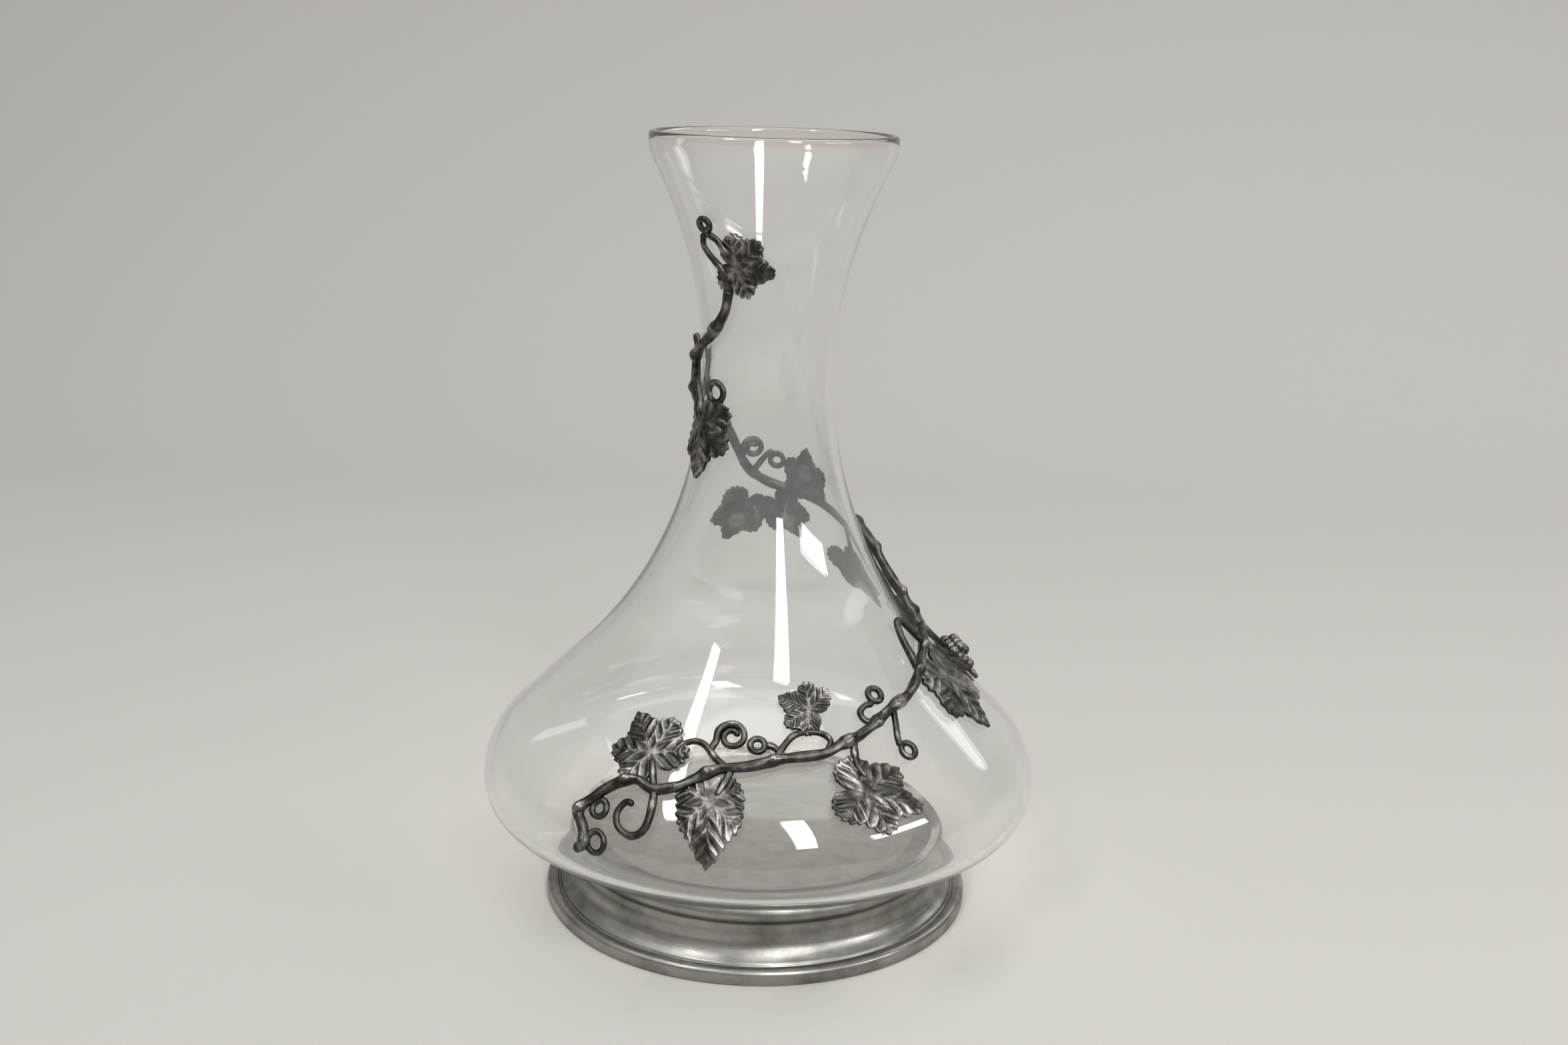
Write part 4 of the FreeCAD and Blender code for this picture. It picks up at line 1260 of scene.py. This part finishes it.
@dataclass
class GrapeBunch:
    """A hanging bunch of grapes: one layer on the glass and a few on top."""

    node: str = "grape_bunch"
    turn: float = 101
    rise_share: float = 0.1697
    radius: float = 2.1 * MM
    size_range: Range = (0.94, 1.04)
    gap: float = 0.3 * MM
    layer_share: float = 1.1
    dimple_depth: float = 0.1
    dimple_width: float = 0.25
    # The outer end of each grape is made lighter by a painted highlight as well as by its wear.
    least_wear: float = 0.46
    top_wear: float = 0.36
    rows: int = 14
    columns: int = 24

    # Place of each grape across and along the glass in grape radii, and its layer.
    SHARES = (
        (-2.4, 1.6, 0), (-0.8, 1.7, 0), (0.8, 1.7, 0), (2.4, 1.6, 0),
        (-1.6, 0.2, 0), (0, 0.2, 0), (1.6, 0.2, 0),
        (-0.8, -1.2, 0), (0.8, -1.2, 0), (0, -2.6, 0),
        (-1.6, 1.15, 1), (0, 1.2, 1), (1.6, 1.15, 1), (0, -0.35, 1),
    )

    def build(self, outline: GlassOutline, seed: int) -> Piece:
        """The bunch: a ball of rings for each grape, with a dimple at its outer end.

        Args:
            outline: The glass.
            seed: Where the grapes' sizes start.

        Returns:
            The piece.
        """
        draw = np.random.default_rng(seed)
        rise = np.linspace(-np.pi / 2, np.pi / 2, self.rows + 2)[1:-1, None]
        angle = np.linspace(0, 2 * np.pi, self.columns, endpoint=False)[None, :]
        dimple = 1 - self.dimple_depth * np.exp(-((np.pi / 2 - rise) / self.dimple_width) ** 2)
        level_right = (np.cos(rise) * np.cos(angle))[..., None]
        level_up = (np.cos(rise) * np.sin(angle))[..., None]
        standing = (np.sin(rise) * dimple * np.ones_like(angle))[..., None]
        # Painted highlight as well as wear: the outer end of each grape is made lighter.
        top = np.clip(np.sin(rise), 0, 1)
        wear = np.repeat(self.least_wear + self.top_wear * top, self.columns, 1)
        height = outline.risen(self.rise_share)
        girth = outline.radius_at(height)
        climb = math.cos(float(outline.tilt_at(height)))
        grapes = []
        for across, along, layer in self.SHARES:
            turn = math.radians(self.turn) + across * self.radius / girth
            level = height + along * self.radius * climb
            right, up, out = outline.axes(turn, level)
            size = self.radius * draw.uniform(*self.size_range)
            lift = self.gap + self.radius * (1 + layer * self.layer_share)
            middle = outline.point(np.array(turn), np.array(level), lift)
            ball = size * (level_right * right + level_up * up + standing * out)
            grapes.append(grid_skin(middle + ball, wear=wear))
        return make_piece("cast_" + self.node, joined(grapes), Slot.VINE, self.node)


@dataclass
class Grapevine(SubAssembly):
    """The cast vine: stems, stalks, tendrils, spirals, rings, leaves and one bunch of grapes."""

    outline: GlassOutline
    leaf_length: float = 25 * MM
    ring_radius: float = 2.3 * MM
    spiral_radius: float = 4.6 * MM
    spiral_places: int = 9
    ring_places: int = 12
    stem_overlap: float = 3.0
    stem_end: float = 0.4

    # Routes are places: turn in degrees and share of the rise from belly to rim.
    STEMS = {
        "tail_stem": [(-34, 0.0188), (-32.5, 0.0309), (-33.7, 0.049), (-35.5, 0.0647),
                      (-33.5, 0.0816), (-30, 0.1015), (-26, 0.1105), (-21.2, 0.1045),
                      (-16.5, 0.1105)],
        "front_stem": [(-16.5, 0.1105), (-9, 0.1322), (-1, 0.1389), (7, 0.1473), (16, 0.1497),
                       (21, 0.1576), (27, 0.1648)],
        "side_stem": [(27, 0.1648), (32, 0.1733), (40, 0.1866), (47.5, 0.1926), (56, 0.2059),
                      (66, 0.2228), (76, 0.2348), (86, 0.2457)],
        "rising_stem": [(86, 0.2457), (93, 0.2759), (97, 0.3121), (102, 0.3483), (112, 0.3784),
                        (124, 0.3966), (136, 0.4086)],
        "back_stem": [(136, 0.4086), (150, 0.4183), (165, 0.4243), (180, 0.4364), (194, 0.4605),
                      (205, 0.4991), (214, 0.5317), (228, 0.5607)],
        "neck_stem": [(228, 0.5607), (245, 0.5776), (262, 0.6017), (271, 0.6319), (277, 0.6584),
                      (291, 0.6838), (312, 0.7103), (326, 0.7453), (331, 0.7779)],
    }
    STALKS = {
        "left_leaf_stalk": [(-21.4, 0.1057), (-23, 0.1214), (-24.5, 0.1359)],
        "down_leaf_stalk": [(-5.4, 0.1353), (-6.6, 0.1202), (-8, 0.1057)],
        "right_leaf_stalk": [(25, 0.1624), (24, 0.1467), (23.8, 0.1322), (25, 0.1202)],
        "neck_leaf_stalk": [(272, 0.6364), (283, 0.6271), (293, 0.6041), (298, 0.58)],
        "bunch_stalk": [(84.5, 0.2439), (91, 0.23), (95.5, 0.2107), (99, 0.1902)],
    }
    TENDRIL_KINDS = {"tail_curl": WireKind.CURL, "side_loop": WireKind.CURL}
    TENDRILS = {
        "tail_curl": [(-21.2, 0.1045), (-20.4, 0.084), (-20.8, 0.0634), (-23, 0.052), (-26, 0.058),
                      (-27.3, 0.0731), (-26.3, 0.0864), (-24.4, 0.0858)],
        "hook_tendril": [(-6, 0.1347), (-9.3, 0.1449), (-12.4, 0.1576), (-15.3, 0.1612),
                         (-17.9, 0.1564), (-18.3, 0.1467), (-16.7, 0.1407)],
        "link_tendril": [(7, 0.1473), (5.6, 0.1552), (4, 0.1606), (2.2, 0.1612)],
        "arch_tendril": [(4.4, 0.1446), (6.4, 0.1588), (9.4, 0.1715), (13, 0.1751), (16.8, 0.1727),
                         (18.9, 0.1642), (17.5, 0.1522)],
        "right_tendril": [(40.8, 0.1872), (39.2, 0.1709), (37.6, 0.1564), (36.9, 0.1449)],
        "crook_tendril": [(33, 0.1751), (30.2, 0.1805), (29.8, 0.1896), (32.2, 0.1956),
                          (35, 0.1962)],
        "side_loop": [(60, 0.2126), (61.6, 0.2348), (63.2, 0.2578), (66.5, 0.2747), (70.5, 0.2698),
                      (73.5, 0.2529), (75.5, 0.2342)],
        "back_tendril": [(191, 0.4545), (187, 0.469), (181, 0.4865), (175.5, 0.4919)],
        "top_tendril": [(331, 0.7779), (327.5, 0.8093), (319, 0.8298), (315, 0.8455),
                        (318, 0.8624)],
        "top_strand": [(333.5, 0.831), (327.5, 0.8516), (321, 0.8624)],
        "neck_bud": [(277, 0.6584), (272.5, 0.6802), (270.5, 0.7007)],
    }
    SPIRAL_ROOTS = {"spiral_tendril": [(-11.2, 0.1522), (-10.6, 0.1585)], "back_spiral": []}
    # Middle of the spiral, angle of its start, turns, and its outer and inner reach.
    SPIRALS = {
        "spiral_tendril": (-6.2, 0.1697, 200, -1.55, 1.0, 0.3),
        "back_spiral": (192, 0.4979, -50, 1.6, 0.8, 0.25),
    }
    # Middle of the ring and its size.
    RINGS = {
        "tail_ring": (-30.3, 0.0333, 1.25),
        "tail_small_ring": (-31.4, 0.0731, 1.0),
        "front_ring": (0.3, 0.1618, 0.9),
        "right_ring": (38.7, 0.1395, 1.0),
        "crook_ring": (36.9, 0.2053, 0.95),
        "back_ring": (173, 0.4774, 1.0),
        "neck_ring": (314.5, 0.6234, 1.3),
        "top_ring": (319.5, 0.8751, 0.8),
    }
    LEAF_STALKS = {"back_low_leaf": [(117, 0.3862), (119.5, 0.367), (123, 0.343), (126, 0.312)]}
    # Middle of the leaf, lean of its tip, shares of length and width, and how spear-shaped it is.
    LEAVES = {
        "left_leaf": (-28.2, 0.1546, -40, 0.78, 0.95),
        "down_leaf": (-8.8, 0.0779, 176, 0.92, 0.74, 1.0),
        "middle_leaf": (12.0, 0.2056, -62, 0.5, 1.1),
        "right_leaf": (27.8, 0.0972, 115, 0.95, 0.72),
        "side_leaf": (71.8, 0.1636, 180, 1.02, 0.88),
        "side_bud_leaf": (101.5, 0.2529, 66, 0.6, 0.92),
        "bunch_leaf": (108, 0.1419, 165, 0.62, 0.9),
        "back_low_leaf": (127, 0.2819, -165, 0.9, 0.85),
        "back_right_leaf": (147, 0.4635, -8, 0.7, 0.8),
        "back_middle_leaf": (166.5, 0.3724, -150, 0.7, 0.78),
        "back_left_leaf": (198, 0.37, 160, 0.74, 0.8),
        "lower_neck_leaf": (301, 0.5414, 174, 0.84, 0.9),
        "upper_neck_leaf": (347, 0.8129, 102, 0.58, 1.08),
    }

    def beside(
        self, turn: float, share: float, across: np.ndarray, along: np.ndarray
    ) -> list[Place]:
        """Places at distances across and along the glass from one place.

        The turn changes by the distance across over the radius there, and the height by the
        distance along times the cosine of the tilt.

        Args:
            turn: Turn of that place in degrees.
            share: Its share of the rise.
            across: Distances to the side.
            along: Distances up along the glass.

        Returns:
            Turns and shares of the rise.
        """
        height = self.outline.risen(share)
        girth = self.outline.radius_at(height)
        climb = math.cos(float(self.outline.tilt_at(height)))
        turns = turn + np.degrees(across / girth)
        return list(zip(turns, share + along * climb / self.outline.rise))

    def spiral(
        self, turn: float, share: float, start: float, turns: float, outer: float, inner: float
    ) -> list[Place]:
        """Places along a spiral that draws in evenly round a middle on the glass.

        Args:
            turn: Turn of the middle in degrees.
            share: Its share of the rise.
            start: Angle of the outer end in degrees.
            turns: Number of turns, negative for clockwise ones.
            outer: Share of the spiral's radius at the outer end.
            inner: Share of it at the inner end.

        Returns:
            Turns and shares of the rise.
        """
        part = np.linspace(0, 1, math.ceil(abs(turns) * self.spiral_places) + 1)
        angle = np.radians(start + 360 * turns * part)
        reach = self.spiral_radius * (outer + (inner - outer) * part)
        return self.beside(turn, share, reach * np.cos(angle), reach * np.sin(angle))

    def ring(self, turn: float, share: float, ring_share: float) -> list[Place]:
        """Places round a ring on the glass.

        Args:
            turn: Turn of the middle in degrees.
            share: Its share of the rise.
            ring_share: Size of the ring, as a share of the ring radius.

        Returns:
            Turns and shares of the rise.
        """
        angle = np.linspace(0, 2 * np.pi, self.ring_places, endpoint=False)
        reach = self.ring_radius * ring_share
        return self.beside(turn, share, reach * np.cos(angle), reach * np.sin(angle))

    def wires(self) -> list[VineWire]:
        """Lists all wires of the vine.

        Returns:
            Stems, stalks, tendrils, spirals and rings.
        """
        run_on = {"overlap_steps": self.stem_overlap, "end_round": self.stem_end}
        made = [VineWire(node, WireKind.STEM, route, **run_on)
                for node, route in self.STEMS.items()]
        made += [VineWire(node, WireKind.STALK, route) for node, route in self.STALKS.items()]
        made += [VineWire(node, self.TENDRIL_KINDS.get(node, WireKind.TENDRIL), route)
                 for node, route in self.TENDRILS.items()]
        made += [VineWire(node, WireKind.TENDRIL, self.SPIRAL_ROOTS[node] + self.spiral(*row))
                 for node, row in self.SPIRALS.items()]
        made += [VineWire(node, WireKind.RING, self.ring(*row), closed=True)
                 for node, row in self.RINGS.items()]
        return made

    def leaves(self) -> list[VineLeaf]:
        """Lists all leaves of the vine.

        Returns:
            The leaves.
        """
        made = []
        for node, (turn, share, lean, length_share, *form) in self.LEAVES.items():
            length = length_share * self.leaf_length
            stalk = self.LEAF_STALKS.get(node)
            made.append(VineLeaf(node, turn, share, lean, length, *form, stalk=stalk))
        return made

    def build(self) -> list[Piece]:
        """Builds every piece of the vine, each with its own seed.

        Returns:
            The pieces.
        """
        parts = [*self.wires(), *self.leaves(), GrapeBunch()]
        return [part.build(self.outline, seed) for seed, part in enumerate(parts)]


# Stage


@dataclass
class Lamp:
    """A soft rectangular lamp that looks at the carafe, placed by its direction in degrees."""

    name: str
    azimuth: float
    elevation: float
    distance: float
    width: float
    height: float
    watts: float
    roll: float = 0.0

    def build(self, target: Vector) -> None:
        """Hangs the lamp at its direction from the target, turned towards it.

        Args:
            target: What it looks at.
        """
        light = bpy.data.lights.new(self.name, "AREA")
        light.shape = "RECTANGLE"
        light.size, light.size_y = self.width, self.height
        light.energy = self.watts
        lamp = bpy.data.objects.new(self.name, light)
        turn, rise = math.radians(self.azimuth), math.radians(self.elevation)
        level = math.cos(rise)
        way = Vector((level * math.sin(turn), -level * math.cos(turn), math.sin(rise)))
        facing = way.to_track_quat("Z", "Y").to_matrix().to_4x4()
        rolled = Matrix.Rotation(math.radians(self.roll), 4, "Z")
        lamp.matrix_world = Matrix.Translation(target + way * self.distance) @ facing @ rolled
        bpy.context.scene.collection.objects.link(lamp)


@dataclass
class Studio(SubAssembly):
    """Pale floor that sweeps up into a backdrop, soft lamps and the camera."""

    width: float = 16.0
    front: float = -8.0
    bend: float = 0.55
    bend_radius: float = 0.5
    bend_rows: int = 24
    top: float = 2.6
    target_height: float = 0.09
    sky_strength: float = 0.6
    low_sky: Colour = (0.34, 0.35, 0.37)
    high_sky: Colour = (1.0, 1.0, 1.0)
    sky_range: Range = (0.05, 0.75)
    camera_place: tuple[float, float, float] = (6.14 * MM, -537.6 * MM, 268.6 * MM)
    camera_pitch: float = 15.013
    camera_roll: float = 1.628
    lens: float = 40.39
    sensor_width: float = 36.0
    nearest: float = 0.01

    LAMPS = (
        Lamp("window", 21, 40, 1.4, 0.2, 0.9, 10),
        Lamp("left_strip", -54, 57, 1.4, 0.12, 0.6, 4, 40),
        Lamp("right_strip", 62, 24, 1.4, 0.6, 0.14, 4),
        Lamp("ceiling", 0, 88, 1.6, 1.5, 1.5, 9),
        Lamp("back_fill", 140, 35, 1.6, 1.0, 0.8, 6),
    )

    def floor(self) -> Piece:
        """A strip of paper: floor, quarter circle and upright wall, one profile drawn sideways.

        Returns:
            The strip.
        """
        turn = np.linspace(-np.pi / 2, 0, self.bend_rows)
        middle = np.array([self.bend, self.bend_radius])
        curve = middle + self.bend_radius * np.stack([np.cos(turn), np.sin(turn)], -1)
        wall_top = (self.bend + self.bend_radius, self.top)
        profile = np.vstack([[(self.front, 0)], curve, [wall_top]])
        sides = np.array([-self.width / 2, self.width / 2])
        count = len(profile)
        grid = np.stack([
            np.repeat(sides[:, None], count, 1),
            np.repeat(profile[None, :, 0], 2, 0),
            np.repeat(profile[None, :, 1], 2, 0),
        ], -1)
        row = np.arange(count - 1)
        faces = np.stack([row, row + count, row + count + 1, row + 1], -1)
        mesh = bpy.data.meshes.new("paper_sweep")
        mesh.from_pydata(grid.reshape(-1, 3).tolist(), [], faces.tolist())
        mesh.shade_smooth()
        sweep = bpy.data.objects.new("paper_sweep", mesh)
        bpy.context.scene.collection.objects.link(sweep)
        return sweep

    def light(self) -> None:
        """Lamps all round and a sky that is dim near the horizon and bright overhead."""
        for lamp in self.LAMPS:
            lamp.build(Vector((0, 0, self.target_height)))
        world = bpy.data.worlds.new("soft_sky")
        world.use_nodes = True
        tree = world.node_tree
        shade = tree.nodes["Background"]
        shade.inputs["Strength"].default_value = self.sky_strength
        place = tree.nodes.new("ShaderNodeTexCoord")
        parts = tree.nodes.new("ShaderNodeSeparateXYZ")
        ramp = tree.nodes.new("ShaderNodeValToRGB")
        tree.links.new(place.outputs["Generated"], parts.inputs[0])
        tree.links.new(parts.outputs["Z"], ramp.inputs["Fac"])
        tree.links.new(ramp.outputs["Color"], shade.inputs["Color"])
        skies = (self.low_sky, self.high_sky)
        for stop, position, sky in zip(ramp.color_ramp.elements, self.sky_range, skies):
            stop.position = position
            stop.color = (*sky, 1)
        bpy.context.scene.world = world

    def camera(self) -> None:
        """The camera of the photo: its place, pitch, roll and lens."""
        pitch, roll = math.radians(self.camera_pitch), math.radians(self.camera_roll)
        ahead = Vector((0, math.cos(pitch), -math.sin(pitch)))
        up = Vector((0, math.sin(pitch), math.cos(pitch)))
        right = Vector((1, 0, 0))
        across = math.cos(roll) * right + math.sin(roll) * up
        above = -math.sin(roll) * right + math.cos(roll) * up
        turned = Matrix((across, above, -ahead)).transposed().to_4x4()
        data = bpy.data.cameras.new("photo_camera")
        data.lens = self.lens
        data.sensor_width = self.sensor_width
        data.sensor_fit = "HORIZONTAL"
        data.clip_start = self.nearest
        camera = bpy.data.objects.new("photo_camera", data)
        camera.matrix_world = Matrix.Translation(Vector(self.camera_place)) @ turned
        bpy.context.scene.collection.objects.link(camera)
        bpy.context.scene.camera = camera

    def build(self) -> list[Piece]:
        """Sets the whole stage up.

        Returns:
            The paper of the floor and backdrop.
        """
        paper = [self.floor()]
        self.light()
        self.camera()
        bpy.context.scene.view_settings.view_transform = "Standard"
        return paper


def dress_solid(node: str, finish: bpy.types.Material) -> None:
    """Gives a solid that shows as it is a finer finish.

    Args:
        node: Name of the solid.
        finish: The finish.
    """
    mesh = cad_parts[node].data
    mesh.materials.clear()
    mesh.materials.append(finish)
    LOG.info("%s: kept", node)


def main() -> None:
    """Builds the carafe piece by piece, then the stage."""
    logging.basicConfig(level=logging.INFO, format="%(message)s")
    glass_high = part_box("glass_body")[1]
    foot_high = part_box("foot_ring")[1]
    outline = GlassOutline(height=glass_high.z, belly_radius=glass_high.x)
    foot = TurnedFoot(radius=foot_high.x, top=foot_high.z)
    assemblies = [
        (GlassVessel(outline), GlassFinish()),
        (foot, TurnedPewterFinish()),
        (Grapevine(outline), CastVineFinish()),
        (Studio(), StageFinish()),
    ]
    for assembly, finish in assemblies:
        assembly.dress(assembly.build(), finish.material())
    plate = TurnedPewterFinish(
        name="plate_pewter", bright=(0.39, 0.375, 0.35), tarnish=(0.26, 0.248, 0.23),
        tarnish_scale=120.0, roughness=(0.42, 0.6),
    )
    glue = CementFinish(
        name="dark_glue", pale=(0.13, 0.12, 0.105), dark=(0.07, 0.065, 0.06), blotch_scale=500.0,
    )
    solids = {"foot_plate": plate, "seat_cement": CementFinish(), "glue_dots": glue}
    for node, finish in solids.items():
        dress_solid(node, finish.material())


if __name__ == "__main__":
    main()
